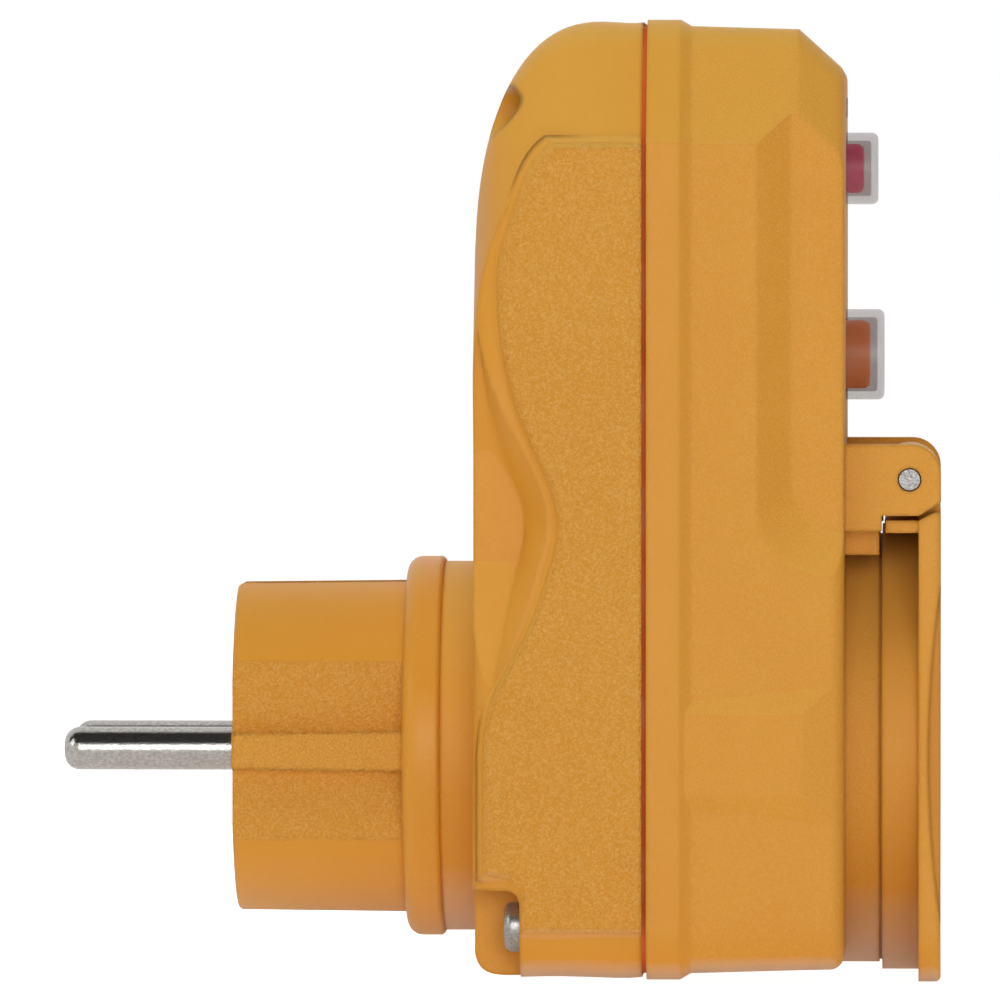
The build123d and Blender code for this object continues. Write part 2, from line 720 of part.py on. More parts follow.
plug_seal_ring.part.label = "plug_seal_ring"
export_step(plug_seal_ring.part, "parts/plug_seal_ring.step")


def plug_pin(side):
    """Round pin with a rounded tip, which goes through the plug body to a thin tail"""
    with BuildPart() as pin:
        add(rod(PIN_DIAMETER / 2, -PIN_LENGTH, 0, side * PIN_Y))
        fillet(pin.edges().sort_by(Axis.X)[0], radius=PIN_TIP)
        add(rod(PIN_ROOT_RADIUS, 0, PLUG_END, side * PIN_Y))
        add(rod(PIN_TAIL_RADIUS, PLUG_END, PLUG_END + PIN_TAIL, side * PIN_Y))
    return pin.part


for side, name in ((-1, "plug_pin_left"), (1, "plug_pin_right")):
    with BuildPart() as pin:
        add(plug_pin(side))
    pin.part.label = name
    export_step(pin.part, f"parts/{name}.step")


def earth_bracket(start, end, reach, thickness, half):
    """Strip along X above and below the axis, joined by a crosspiece at its end"""
    with BuildPart() as bracket:
        for side in (-1, 1):
            height = sorted((side * reach, side * (reach - thickness)))
            add(slab((start, end), (-half, half), height))
        add(slab((end - thickness, end), (-half, half), (-reach, reach)))
    return bracket.part


with BuildPart() as plug_earth_bracket:
    add(
        earth_bracket(
            EARTH_STRIP_START,
            PLUG_END + EARTH_STRIP_THICKNESS,
            PLUG_RADIUS - EARTH_STRIP_SINK,
            EARTH_STRIP_THICKNESS,
            EARTH_STRIP_HALF,
        )
    )

plug_earth_bracket.part.label = "plug_earth_bracket"
export_step(plug_earth_bracket.part, "parts/plug_earth_bracket.step")

# Socket: a cup held by its flange behind the tube of the front housing

SLEEVE_RADIUS = 3.6
SLEEVE_LENGTH = 9.0
SLEEVE_SLOT = 0.8
GUIDE_DEPTH = 3.4
GUIDE_LOW = 2.5
GUIDE_HIGH = 4.6
GUIDE_FRONT = 1.5
CLIP_INSET = 0.9
CLIP_THICKNESS = 0.8
CLIP_HALF = 2.8
CLIP_LENGTH = 11.0
MOUTH = LID_BACK - CLEAR
HOLE_RADIUS = PIN_DIAMETER / 2 + FIT
GUIDE_HALF = RECESS_RADIUS - GUIDE_DEPTH
CLIP_REACH = RECESS_RADIUS - CLIP_INSET


def guide_land():
    """Lands on the left wall of the recess, above and below the middle, that fit the plug's flats"""
    with BuildPart() as land:
        for side in (-1, 1):
            height = sorted((side * GUIDE_LOW, side * GUIDE_HIGH))
            add(slab((SOCKET_BACK, MOUTH - GUIDE_FRONT), (-RECESS_RADIUS - FIT, -GUIDE_HALF), height))
    return land.part


with BuildPart() as socket_insert:
    add(rod(INSERT_RADIUS, SOCKET_BACK, MOUTH))
    add(rod(FLANGE_RADIUS, FLANGE_START, FLANGE_START + FLANGE_THICKNESS))
    keel_room = BASE + FRONT_WALL - CLEAR
    add(
        slab(
            (FLANGE_START, FLANGE_START + FLANGE_THICKNESS),
            (-FLANGE_RADIUS, FLANGE_RADIUS),
            (-FLANGE_RADIUS - OVERRUN, keel_room),
        ),
        mode=Mode.SUBTRACT,
    )
    add(rod(RECESS_RADIUS, RECESS_FLOOR, MOUTH + OVERRUN), mode=Mode.SUBTRACT)
    add(rod(RECESS_RADIUS, FLANGE_START - OVERRUN, SOCKET_BACK), mode=Mode.SUBTRACT)
    both_sides(guide_land())
    for side in (-1, 1):
        add(rod(HOLE_RADIUS, SOCKET_BACK - OVERRUN, RECESS_FLOOR + OVERRUN, side * PIN_Y), mode=Mode.SUBTRACT)
        slot = sorted((side * (CLIP_REACH + FIT), side * (CLIP_REACH - CLIP_THICKNESS - FIT)))
        slot_width = (-CLIP_HALF - FIT, CLIP_HALF + FIT)
        add(slab((SOCKET_BACK - OVERRUN, RECESS_FLOOR + OVERRUN), slot_width, slot), mode=Mode.SUBTRACT)

socket_insert.part.label = "socket_insert"
export_step(socket_insert.part, "parts/socket_insert.step")

clip_bracket = earth_bracket(
    -RECESS_FLOOR - CLIP_LENGTH, CLIP_THICKNESS - SOCKET_BACK, CLIP_REACH, CLIP_THICKNESS, CLIP_HALF
)

with BuildPart() as socket_earth_bracket:
    mirror(clip_bracket, about=Plane.YZ)

socket_earth_bracket.part.label = "socket_earth_bracket"
export_step(socket_earth_bracket.part, "parts/socket_earth_bracket.step")

# Contact sleeves behind the socket's floor, each with a tab up to the circuit board

TAB_HALF = 2.0
TAB_THICKNESS = 1.0
TAB_TOP = 34.0


def socket_contact(side):
    """Slotted sleeve that grips a pin, with a strip that carries it from the board"""
    y = side * PIN_Y
    sleeve_start = SOCKET_BACK - SLEEVE_LENGTH
    with BuildPart() as contact:
        add(ring(SLEEVE_RADIUS, HOLE_RADIUS, sleeve_start, SOCKET_BACK, y))
        add(
            slab(
                (sleeve_start + TAB_THICKNESS, SOCKET_BACK + CLEAR),
                (y - SLEEVE_SLOT / 2, y + SLEEVE_SLOT / 2),
                (-SLEEVE_RADIUS - OVERRUN, 0),
            ),
            mode=Mode.SUBTRACT,
        )
        strip = (y - TAB_HALF, y + TAB_HALF)
        add(slab((sleeve_start, sleeve_start + TAB_THICKNESS), strip, (SLEEVE_RADIUS - CLEAR, TAB_TOP)))
        add(slab((BOARD_FRONT, sleeve_start + TAB_THICKNESS), strip, (TAB_TOP - TAB_THICKNESS, TAB_TOP)))
    return contact.part


for side, name in ((-1, "socket_contact_left"), (1, "socket_contact_right")):
    with BuildPart() as contact:
        add(socket_contact(side))
    contact.part.label = name
    export_step(contact.part, f"parts/{name}.step")

# Through conductor for earth, and the two insulated wires that pass the transformer

EARTH_BAR_HALF = 2.5
EARTH_BAR_THICKNESS = 1.5
EARTH_BAR_DROP = 9.5
WIRE_RADIUS = 1.1
WIRE_BEND = 2.6
WIRE_STUB = 3.6
WIRE_LOW = 26.0
WIRE_STEP = 12.0
WIRE_CLEARANCE = 2.1
WIRE_GAP = 1.5
WIRE_RISE_X = PLUG_END + PIN_TAIL + WIRE_STUB
WIRE_BACK_X = REAR_INSIDE + WIRE_CLEARANCE

CORE_Z = 61.0
CORE_RADIUS = 8.4
CORE_BORE = 5.6
CORE_DEPTH = 6.4
WINDING_THICKNESS = 1.1

with BuildPart() as earth_conductor:
    add(
        slab(
            (PLUG_END + EARTH_STRIP_THICKNESS, SOCKET_BACK - CLIP_THICKNESS),
            (-EARTH_BAR_HALF, EARTH_BAR_HALF),
            (-EARTH_BAR_DROP, EARTH_BAR_THICKNESS - EARTH_BAR_DROP),
        )
    )

earth_conductor.part.label = "earth_conductor"
export_step(earth_conductor.part, "parts/earth_conductor.step")


def wire(side):
    """Wire from a pin's tail, up behind the transformer and through its bore to the board"""
    outer = side * PIN_Y
    inner = side * WIRE_GAP
    with BuildPart() as lead:
        with BuildLine() as route:
            FilletPolyline(
                (PLUG_END + PIN_TAIL, outer, 0),
                (WIRE_RISE_X, outer, 0),
                (WIRE_RISE_X, outer, WIRE_LOW),
                (WIRE_BACK_X, inner, WIRE_LOW + WIRE_STEP),
                (WIRE_BACK_X, inner, CORE_Z),
                (BOARD_BACK, inner, CORE_Z),
                radius=WIRE_BEND,
            )
        with BuildSketch(Plane(origin=route.line @ 0, z_dir=route.line % 0)):
            Circle(WIRE_RADIUS)
        sweep(path=route.line)
    return lead.part


for side, name in ((-1, "neutral_conductor"), (1, "live_conductor")):
    with BuildPart() as lead:
        add(wire(side))
    lead.part.label = name
    export_step(lead.part, f"parts/{name}.step")

# Lid: a plate with a skirt round the socket's collar and a knuckle between the ears

LID_CORNER_RADIUS = 5.0
LID_EDGE_RADIUS = 0.6
GRIP_REACH = 2.4
GRIP_HALF_HEIGHT = 19.0
GRIP_DEPTH = 1.4
TOP_WALL_SETBACK = 0.6
TOP_WALL_THICKNESS = 1.35
FLAP_REACH = 3.6
NOTCH_HALF = 6.8
NOTCH_DEPTH = 2.55
PIN_OVERHANG = 0.1
SEAT_WIDTH = 1.2
SEAT_THICKNESS = 0.9
LID_SPRING_RADIUS = 1.9
LID_SPRING_WIRE = 0.35
LID_SPRING_PITCH = 1.3
LID_SPRING_TURNS = 9


def lid_plate():
    """Plate with a bevelled top edge and round corners"""
    with BuildPart() as plate:
        with BuildSketch(Plane.XZ):
            with BuildLine():
                Polyline(
                    (LID_BACK, LID_LOW),
                    (LID_FRONT, LID_LOW),
                    (LID_FRONT, LID_HIGH + LID_BEVEL),
                    (LID_BACK, LID_HIGH),
                    close=True,
                )
            make_face()
        extrude(amount=LID_HALF, both=True)
        corners = plate.edges().filter_by(Axis.X).group_by(Axis.Z)[0]
        fillet(corners, radius=LID_CORNER_RADIUS)
        fillet(plate.faces().sort_by(Axis.X)[-1].edges(), radius=LID_EDGE_RADIUS)
    return plate.part


def grip_cutter():
    """Cutter for the shallow arc on the left front edge of the lid"""
    with BuildPart() as cutter:
        with BuildSketch(Plane.XZ.offset(LID_HALF - GRIP_REACH)):
            with BuildLine():
                ThreePointArc(
                    (LID_FRONT, -GRIP_HALF_HEIGHT),
                    (LID_FRONT - GRIP_DEPTH, 0),
                    (LID_FRONT, GRIP_HALF_HEIGHT),
                )
                Polyline(
                    (LID_FRONT, GRIP_HALF_HEIGHT),
                    (LID_FRONT + OVERRUN, GRIP_HALF_HEIGHT),
                    (LID_FRONT + OVERRUN, -GRIP_HALF_HEIGHT),
                    (LID_FRONT, -GRIP_HALF_HEIGHT),
                )
            make_face()
        extrude(amount=GRIP_REACH + OVERRUN)
    return cutter.part


with BuildPart() as lid:
    add(lid_plate())
    add(ring(SKIRT_RADIUS, SKIRT_RADIUS - SKIRT_WALL, SKIRT_START, LID_BACK + CLEAR))
    knuckle_half = EAR_INNER - CLEAR
    top_wall = (LID_HIGH - TOP_WALL_THICKNESS, LID_HIGH)
    add(slab((COLLAR_END + TOP_WALL_SETBACK, LID_BACK + CLEAR), (-knuckle_half, knuckle_half), top_wall))
    flap_half = LID_HALF - LID_EDGE_RADIUS
    add(slab((LID_BACK - FLAP_REACH, LID_BACK + CLEAR), (-flap_half, flap_half), top_wall))
    both_sides(cross_rod(KNUCKLE_RADIUS, PIN_AXIS_X, PIN_AXIS_Z, 0, knuckle_half))
    add(rod(LIP_RADIUS + CLEAR, SKIRT_START - OVERRUN, COLLAR_END + LIP_LENGTH + CLEAR), mode=Mode.SUBTRACT)
    knuckle_front = PIN_AXIS_X + KNUCKLE_RADIUS
    add(slab((LID_BACK, knuckle_front), (-knuckle_half, knuckle_half), (LID_HIGH - CLEAR, PIN_AXIS_Z)))
    both_sides(grip_cutter(), Mode.SUBTRACT)
    add(
        slab(
            (SKIRT_START, PIN_AXIS_X + NOTCH_DEPTH),
            (-NOTCH_HALF, NOTCH_HALF),
            (LID_HIGH, PIN_AXIS_Z + KNUCKLE_RADIUS + OVERRUN),
        ),
        mode=Mode.SUBTRACT,
    )
    both_sides(
        cross_rod(HINGE_PIN_RADIUS + FIT, PIN_AXIS_X, PIN_AXIS_Z, 0, EAR_OUTER),
        Mode.SUBTRACT,
    )

lid.part.label = "lid"
export_step(lid.part, "parts/lid.step")

with BuildPart() as lid_gasket:
    seat_radius = SKIRT_RADIUS - SKIRT_WALL - FIT
    add(ring(seat_radius, seat_radius - SEAT_WIDTH, LID_BACK - SEAT_THICKNESS, LID_BACK))

lid_gasket.part.label = "lid_gasket"
export_step(lid_gasket.part, "parts/lid_gasket.step")

with BuildPart() as hinge_pin:
    pin_half = EAR_OUTER - PIN_OVERHANG
    both_sides(cross_rod(HINGE_PIN_RADIUS, PIN_AXIS_X, PIN_AXIS_Z, 0, pin_half))
    ends = hinge_pin.edges().filter_by(GeomType.CIRCLE)
    chamfer(ends.group_by(Axis.Y)[0] + ends.group_by(Axis.Y)[-1], length=2 * FIT)

hinge_pin.part.label = "hinge_pin"
export_step(hinge_pin.part, "parts/hinge_pin.step")

# Spring of the lid, wound round its pin as one wire
spring_length = LID_SPRING_PITCH * LID_SPRING_TURNS

with BuildPart() as lid_spring:
    with BuildLine() as coil:
        Helix(
            pitch=LID_SPRING_PITCH,
            height=spring_length,
            radius=LID_SPRING_RADIUS,
            center=(PIN_AXIS_X, -spring_length / 2, PIN_AXIS_Z),
            direction=(0, 1, 0),
        )
    with BuildSketch(Plane(origin=coil.line @ 0, z_dir=coil.line % 0)):
        Circle(LID_SPRING_WIRE)
    sweep(path=coil.line, is_frenet=True)

TURN_STEPS = 48
step_count = TURN_STEPS * LID_SPRING_TURNS
turn_points = [coil.line @ (step / step_count) for step in range(step_count)]
gaps = []
for index, point in enumerate(turn_points):
    for other in turn_points[index + TURN_STEPS // 2 :]:
        gaps.append((point - other).length - 2 * LID_SPRING_WIRE)
print("lid spring, least gap to itself", round(min(gaps), 2))
lid_spring.part.label = "lid_spring"
export_step(lid_spring.part, "parts/lid_spring.step")

# Circuit board and what stands on it

BOARD_CORNER = 2.0
CHIP_SIZE = (1.6, 5.0, 4.0)
CHIP_PLACE = (-14.4, 38.2)
CAPACITOR_SIZE = (9.0, 7.0, 12.0)
CAPACITOR_PLACE = (-12.5, 48.0)
VARISTOR_RADIUS = 4.5
VARISTOR_THICKNESS = 3.4
VARISTOR_PLACE = (-12.0, 61.5)
VARISTOR_LEG = 3.0
RESISTOR_RADIUS = 0.9
RESISTOR_LENGTH = 5.0
RESISTOR_PITCH = 2.6
RESISTOR_PLACE = (3.5, 31.5)
RESISTOR_COUNT = 3
DIODE_RADIUS = 1.1
DIODE_LENGTH = 3.6
DIODE_PITCH = 2.9
DIODE_PLACE = (-4.6, 70.6)
DIODE_COUNT = 2
LED_RADIUS = 1.1
LED_LENGTH = 3.5
CONTACT_Y = 4.1
CONTACT_SPAN = 7.2
CONTACT_HALF = 1.3
CONTACT_HEIGHT = 4.0
RIVET_RADIUS = 1.1
RIVET_HEIGHT = 0.6


def on_board(size, place, lift=0):
    """Block that stands on the front of the board, at a place across and up"""
    depth, width, height = size
    y, z = place
    start = BOARD_FRONT + lift
    return slab((start, start + depth), (y - width / 2, y + width / 2), (z - height / 2, z + height / 2))


with BuildPart() as circuit_board:
    add(slab((BOARD_BACK, BOARD_FRONT), (-BOARD_HALF, BOARD_HALF), (BOARD_LOW, BOARD_HIGH)))
    fillet(circuit_board.edges().filter_by(Axis.X), radius=BOARD_CORNER)
    for y, z in board_posts:
        add(rod(BOARD_SCREW_RADIUS, BOARD_BACK - OVERRUN, BOARD_FRONT + OVERRUN, y, z), mode=Mode.SUBTRACT)

circuit_board.part.label = "circuit_board"
export_step(circuit_board.part, "parts/circuit_board.step")

with BuildPart() as current_transformer_core:
    core_start = BOARD_BACK - WINDING_THICKNESS - CORE_DEPTH
    add(ring(CORE_RADIUS, CORE_BORE, core_start, core_start + CORE_DEPTH, 0, CORE_Z))

current_transformer_core.part.label = "current_transformer_core"
export_step(current_transformer_core.part, "parts/current_transformer_core.step")

with BuildPart() as transformer_winding:
    add(
        ring(
            CORE_RADIUS + WINDING_THICKNESS,
            CORE_BORE - WINDING_THICKNESS,
            core_start - WINDING_THICKNESS,
            BOARD_BACK,
            0,
            CORE_Z,
        )
    )
    add(ring(CORE_RADIUS, CORE_BORE, core_start, core_start + CORE_DEPTH, 0, CORE_Z), mode=Mode.SUBTRACT)

transformer_winding.part.label = "transformer_winding"
export_step(transformer_winding.part, "parts/transformer_winding.step")

with BuildPart() as control_chip:
    add(on_board(CHIP_SIZE, CHIP_PLACE))

control_chip.part.label = "control_chip"
export_step(control_chip.part, "parts/control_chip.step")

with BuildPart() as capacitor:
    add(on_board(CAPACITOR_SIZE, CAPACITOR_PLACE))
    fillet(capacitor.faces().sort_by(Axis.X)[-1].edges(), radius=CLEAR)

capacitor.part.label = "capacitor"
export_step(capacitor.part, "parts/capacitor.step")

with BuildPart() as varistor:
    y, z = VARISTOR_PLACE
    with BuildSketch(Plane.XY.offset(z - VARISTOR_THICKNESS / 2)):
        with Locations((BOARD_FRONT + VARISTOR_LEG + VARISTOR_RADIUS, y)):
            Circle(VARISTOR_RADIUS)
    extrude(amount=VARISTOR_THICKNESS)
    leg = (VARISTOR_LEG + VARISTOR_RADIUS, RESISTOR_RADIUS, RESISTOR_RADIUS)
    for side in (-1, 1):
        add(on_board(leg, (y + side * VARISTOR_RADIUS / 2, z)))

varistor.part.label = "varistor"
export_step(varistor.part, "parts/varistor.step")

with BuildPart() as board_resistors:
    y, z = RESISTOR_PLACE
    for count in range(RESISTOR_COUNT):
        axis = (BOARD_FRONT + RESISTOR_RADIUS, z + count * RESISTOR_PITCH)
        add(cross_rod(RESISTOR_RADIUS, *axis, -y - RESISTOR_LENGTH / 2, -y + RESISTOR_LENGTH / 2))

board_resistors.part.label = "board_resistors"
export_step(board_resistors.part, "parts/board_resistors.step")

with BuildPart() as rectifier_diodes:
    y, z = DIODE_PLACE
    for count in range(DIODE_COUNT):
        axis = (BOARD_FRONT + DIODE_RADIUS, z + count * DIODE_PITCH)
        add(cross_rod(DIODE_RADIUS, *axis, -y - DIODE_LENGTH / 2, -y + DIODE_LENGTH / 2))

rectifier_diodes.part.label = "rectifier_diodes"
export_step(rectifier_diodes.part, "parts/rectifier_diodes.step")

with BuildPart() as status_led:
    add(rod(LED_RADIUS, BOARD_FRONT, BOARD_FRONT + LED_LENGTH, 0, WINDOW_Z))
    fillet(status_led.edges().sort_by(Axis.X)[-1], radius=LED_RADIUS / 2)

status_led.part.label = "status_led"
export_step(status_led.part, "parts/status_led.step")

with BuildPart() as indicator_lens:
    add(rod(WINDOW_RADIUS, FRONT_INSIDE - WINDOW_TAIL, FRONT + LENS_RELIEF, 0, WINDOW_Z))

indicator_lens.part.label = "indicator_lens"
export_step(indicator_lens.part, "parts/indicator_lens.step")

# Switching contacts: two bridges on a sliding carrier, which the reset button pushes

CARRIER_HALF = 6.2
CARRIER_HEIGHT = 10.4
CARRIER_DEPTH = 4.6
BRIDGE_THICKNESS = 0.8
CONTACT_GAP = 0.4
FIXED_TOP = BOARD_FRONT + CONTACT_HEIGHT + RIVET_HEIGHT
BRIDGE_START = FIXED_TOP + CONTACT_GAP + RESET_TRAVEL
CARRIER_START = BRIDGE_START + BRIDGE_THICKNESS
CARRIER_END = CARRIER_START + CARRIER_DEPTH

with BuildPart() as fixed_contacts:
    post = (CONTACT_HEIGHT, 2 * CONTACT_HALF, 2 * CONTACT_HALF)
    for y in (-CONTACT_Y, CONTACT_Y):
        for z in (RESET_Z - CONTACT_SPAN / 2, RESET_Z + CONTACT_SPAN / 2):
            add(on_board(post, (y, z)))
            add(rod(RIVET_RADIUS, BOARD_FRONT + CONTACT_HEIGHT, FIXED_TOP, y, z))

fixed_contacts.part.label = "fixed_contacts"
export_step(fixed_contacts.part, "parts/fixed_contacts.step")

with BuildPart() as moving_contacts:
    reach = CONTACT_SPAN / 2 + CONTACT_HALF
    for y in (-CONTACT_Y, CONTACT_Y):
        across = (y - CONTACT_HALF, y + CONTACT_HALF)
        add(slab((BRIDGE_START, CARRIER_START), across, (RESET_Z - reach, RESET_Z + reach)))

moving_contacts.part.label = "moving_contacts"
export_step(moving_contacts.part, "parts/moving_contacts.step")

with BuildPart() as contact_carrier:
    height = (RESET_Z - CARRIER_HEIGHT / 2, RESET_Z + CARRIER_HEIGHT / 2)
    add(slab((CARRIER_START, CARRIER_END), (-CARRIER_HALF, CARRIER_HALF), height))
    fillet(contact_carrier.edges().filter_by(Axis.X), radius=CLEAR)

contact_carrier.part.label = "contact_carrier"
export_step(contact_carrier.part, "parts/contact_carrier.step")

# Buttons: a frame behind the front face clamps the caps and guides the plungers

FRAME_HALF = 8.0
FRAME_DEPTH = 3.6
FRAME_LOW = 35.5
FRAME_HIGH = 69.7
STEM_RADIUS = 1.6
SPRING_GAP = 0.2
SPRING_WALL = 0.6
SPRING_POCKET = 2.4
CAP_ROOM = 0.8
PLUNGER_ROUND = 0.8
LEAF_HALF = 1.5
LEAF_THICKNESS = 0.4
LEAF_LIFT = 1.6
LEAF_LENGTH = 7.0
LEAF_GAP = 0.4
GUIDE_LEG = 1.6
FRAME_END = FRONT_INSIDE - CAP_FLANGE_THICKNESS
FRAME_START = FRAME_END - FRAME_DEPTH
POCKET_START = FRAME_END - SPRING_POCKET

with BuildPart() as button_frame:
    add(slab((FRAME_START, FRAME_END), (-FRAME_HALF, FRAME_HALF), (FRAME_LOW, FRAME_HIGH)))
    for side in (-1, 1):
        guide = sorted((side * (RESET_Z - FRAME_LOW - GUIDE_LEG), side * (RESET_Z - FRAME_LOW)))
        z_range = (RESET_Z + guide[0], RESET_Z + guide[1])
        add(slab((CARRIER_START, FRAME_START), (-GUIDE_LEG, GUIDE_LEG), z_range))
    for z, cap_radius, rise, plunger_radius, travel in BUTTONS:
        add(rod(STEM_RADIUS + FIT, CARRIER_START, FRAME_END + OVERRUN, 0, z), mode=Mode.SUBTRACT)
        pocket = STEM_RADIUS + SPRING_GAP + SPRING_WALL + SPRING_GAP
        add(rod(pocket, POCKET_START, FRAME_END + OVERRUN, 0, z), mode=Mode.SUBTRACT)

button_frame.part.label = "button_frame"
export_step(button_frame.part, "parts/button_frame.step")


def button_cap(z, radius, rise):
    """Soft cap with a flange behind the front face and a round top"""
    top = FRONT + rise
    with BuildPart() as cap:
        add(rod(radius, FRAME_END, top, 0, z))
        fillet(cap.edges().sort_by(Axis.X)[-1], radius=CAP_ROUND)
        add(rod(radius + CAP_FLANGE, FRAME_END, FRONT_INSIDE, 0, z))
        add(rod(radius - CAP_WALL, FRAME_END - OVERRUN, top - CAP_TOP, 0, z), mode=Mode.SUBTRACT)
    return cap.part


def plunger(z, radius, rise, head, stem_end):
    """Coloured head under the cap, from head outwards, on a stem that reaches back through the frame"""
    top = FRONT + rise - CAP_TOP - CAP_ROOM
    with BuildPart() as piece:
        add(rod(radius, head, top, 0, z))
        fillet(piece.edges().sort_by(Axis.X)[-1], radius=PLUNGER_ROUND)
        add(rod(STEM_RADIUS, stem_end, head, 0, z))
    return piece.part


def return_spring(head, z):
    """Spring between the frame's pocket and the plunger's head"""
    inner = STEM_RADIUS + SPRING_GAP
    return ring(inner + SPRING_WALL, inner, POCKET_START, head, 0, z)


leaf_top = BOARD_FRONT + LEAF_LIFT + LEAF_THICKNESS
STEM_ENDS = (leaf_top + LEAF_GAP + TEST_TRAVEL, CARRIER_END + CONTACT_GAP)

for name, button, stem_end in zip(("test", "reset"), BUTTONS, STEM_ENDS):
    z, cap_radius, rise, plunger_radius, travel = button
    head = FRAME_END + travel + CLEAR
    with BuildPart() as piece:
        add(button_cap(z, cap_radius, rise))
    piece.part.label = f"{name}_button_cap"
    export_step(piece.part, f"parts/{name}_button_cap.step")
    with BuildPart() as piece:
        add(plunger(z, plunger_radius, rise, head, stem_end))
    piece.part.label = f"{name}_plunger"
    export_step(piece.part, f"parts/{name}_plunger.step")
    with BuildPart() as piece:
        add(return_spring(head, z))
    piece.part.label = f"{name}_return_spring"
    export_step(piece.part, f"parts/{name}_return_spring.step")

with BuildPart() as test_contact_spring:
    leaf = (LEAF_THICKNESS, 2 * LEAF_HALF, LEAF_LENGTH)
    add(on_board(leaf, (0, TEST_Z - LEAF_LENGTH / 2 + LEAF_HALF), LEAF_LIFT))
    foot = (LEAF_LIFT + LEAF_THICKNESS, 2 * LEAF_HALF, LEAF_THICKNESS)
    add(on_board(foot, (0, TEST_Z - LEAF_LENGTH + LEAF_HALF + LEAF_THICKNESS / 2)))

test_contact_spring.part.label = "test_contact_spring"
export_step(test_contact_spring.part, "parts/test_contact_spring.step")

# Trip coil: its armature rises and turns the latch lever away from the carrier

COIL_Y = 13.2
COIL_STANDOFF = 8.9
COIL_START = 52.0
COIL_LENGTH = 10.0
BOBBIN_RADIUS = 4.2
BOBBIN_TUBE = 2.4
BOBBIN_BORE = 1.9
BOBBIN_FLANGE = 0.8
YOKE_THICKNESS = 1.2
ARMATURE_RADIUS = 1.7
ARMATURE_STEM_RADIUS = 0.8
ARMATURE_TOP = 59.0
ARMATURE_FOOT_RADIUS = 2.0
ARMATURE_FOOT = 0.8
LEVER_HALF_DEPTH = 1.6
LEVER_PIVOT_Y = 8.5
LEVER_PIVOT_Z = 47.4
LEVER_HUB = 1.7
LEVER_ARM = 1.2
LEVER_NOSE = 5.6
LEVER_TAIL_HALF = 0.6
LEVER_EYE = 1.3
LEVER_LASH = 0.5
PIVOT_RADIUS = 0.8
COIL_X = BOARD_FRONT + COIL_STANDOFF
COIL_END = COIL_START + COIL_LENGTH


def upright(radius, start, end, x=COIL_X, y=COIL_Y):
    """Solid cylinder along Z from start to end"""
    with BuildPart() as cylinder:
        with BuildSketch(Plane.XY.offset(start)):
            with Locations((x, y)):
                Circle(radius)
        extrude(amount=end - start)
    return cylinder.part


with BuildPart() as trip_coil_bobbin:
    add(upright(BOBBIN_TUBE, COIL_START, COIL_END))
    add(upright(BOBBIN_RADIUS, COIL_START, COIL_START + BOBBIN_FLANGE))
    add(upright(BOBBIN_RADIUS, COIL_END - BOBBIN_FLANGE, COIL_END))
    add(upright(BOBBIN_BORE, COIL_START - OVERRUN, COIL_END + OVERRUN), mode=Mode.SUBTRACT)

trip_coil_bobbin.part.label = "trip_coil_bobbin"
export_step(trip_coil_bobbin.part, "parts/trip_coil_bobbin.step")

with BuildPart() as trip_coil_winding:
    add(upright(BOBBIN_RADIUS - CLEAR, COIL_START + BOBBIN_FLANGE, COIL_END - BOBBIN_FLANGE))
    add(upright(BOBBIN_TUBE, COIL_START, COIL_END), mode=Mode.SUBTRACT)

trip_coil_winding.part.label = "trip_coil_winding"
export_step(trip_coil_winding.part, "parts/trip_coil_winding.step")

with BuildPart() as trip_coil_yoke:
    across = (COIL_Y - BOBBIN_RADIUS, COIL_Y + BOBBIN_RADIUS)
    reach = COIL_X + BOBBIN_RADIUS
    yoke_low = COIL_START - YOKE_THICKNESS
    yoke_high = COIL_END + YOKE_THICKNESS
    add(slab((BOARD_FRONT, BOARD_FRONT + YOKE_THICKNESS), across, (yoke_low, yoke_high)))
    add(slab((BOARD_FRONT, reach), across, (yoke_low, COIL_START)))
    add(slab((BOARD_FRONT, reach), across, (COIL_END, yoke_high)))
    add(upright(BOBBIN_BORE, yoke_low - OVERRUN, COIL_START + OVERRUN), mode=Mode.SUBTRACT)

trip_coil_yoke.part.label = "trip_coil_yoke"
export_step(trip_coil_yoke.part, "parts/trip_coil_yoke.step")

lever_low = LEVER_PIVOT_Z - LEVER_TAIL_HALF
foot_top = lever_low - LEVER_LASH

with BuildPart() as trip_armature:
    add(upright(ARMATURE_RADIUS, COIL_START - YOKE_THICKNESS, ARMATURE_TOP))
    add(upright(ARMATURE_STEM_RADIUS, foot_top, COIL_START))
    add(upright(ARMATURE_FOOT_RADIUS, foot_top - ARMATURE_FOOT, foot_top))

trip_armature.part.label = "trip_armature"
export_step(trip_armature.part, "parts/trip_armature.step")

with BuildPart() as armature_spring:
    add(upright(ARMATURE_RADIUS, ARMATURE_TOP, COIL_END))
    add(upright(ARMATURE_RADIUS - SPRING_WALL, ARMATURE_TOP - CLEAR, COIL_END + CLEAR), mode=Mode.SUBTRACT)

armature_spring.part.label = "armature_spring"
export_step(armature_spring.part, "parts/armature_spring.step")

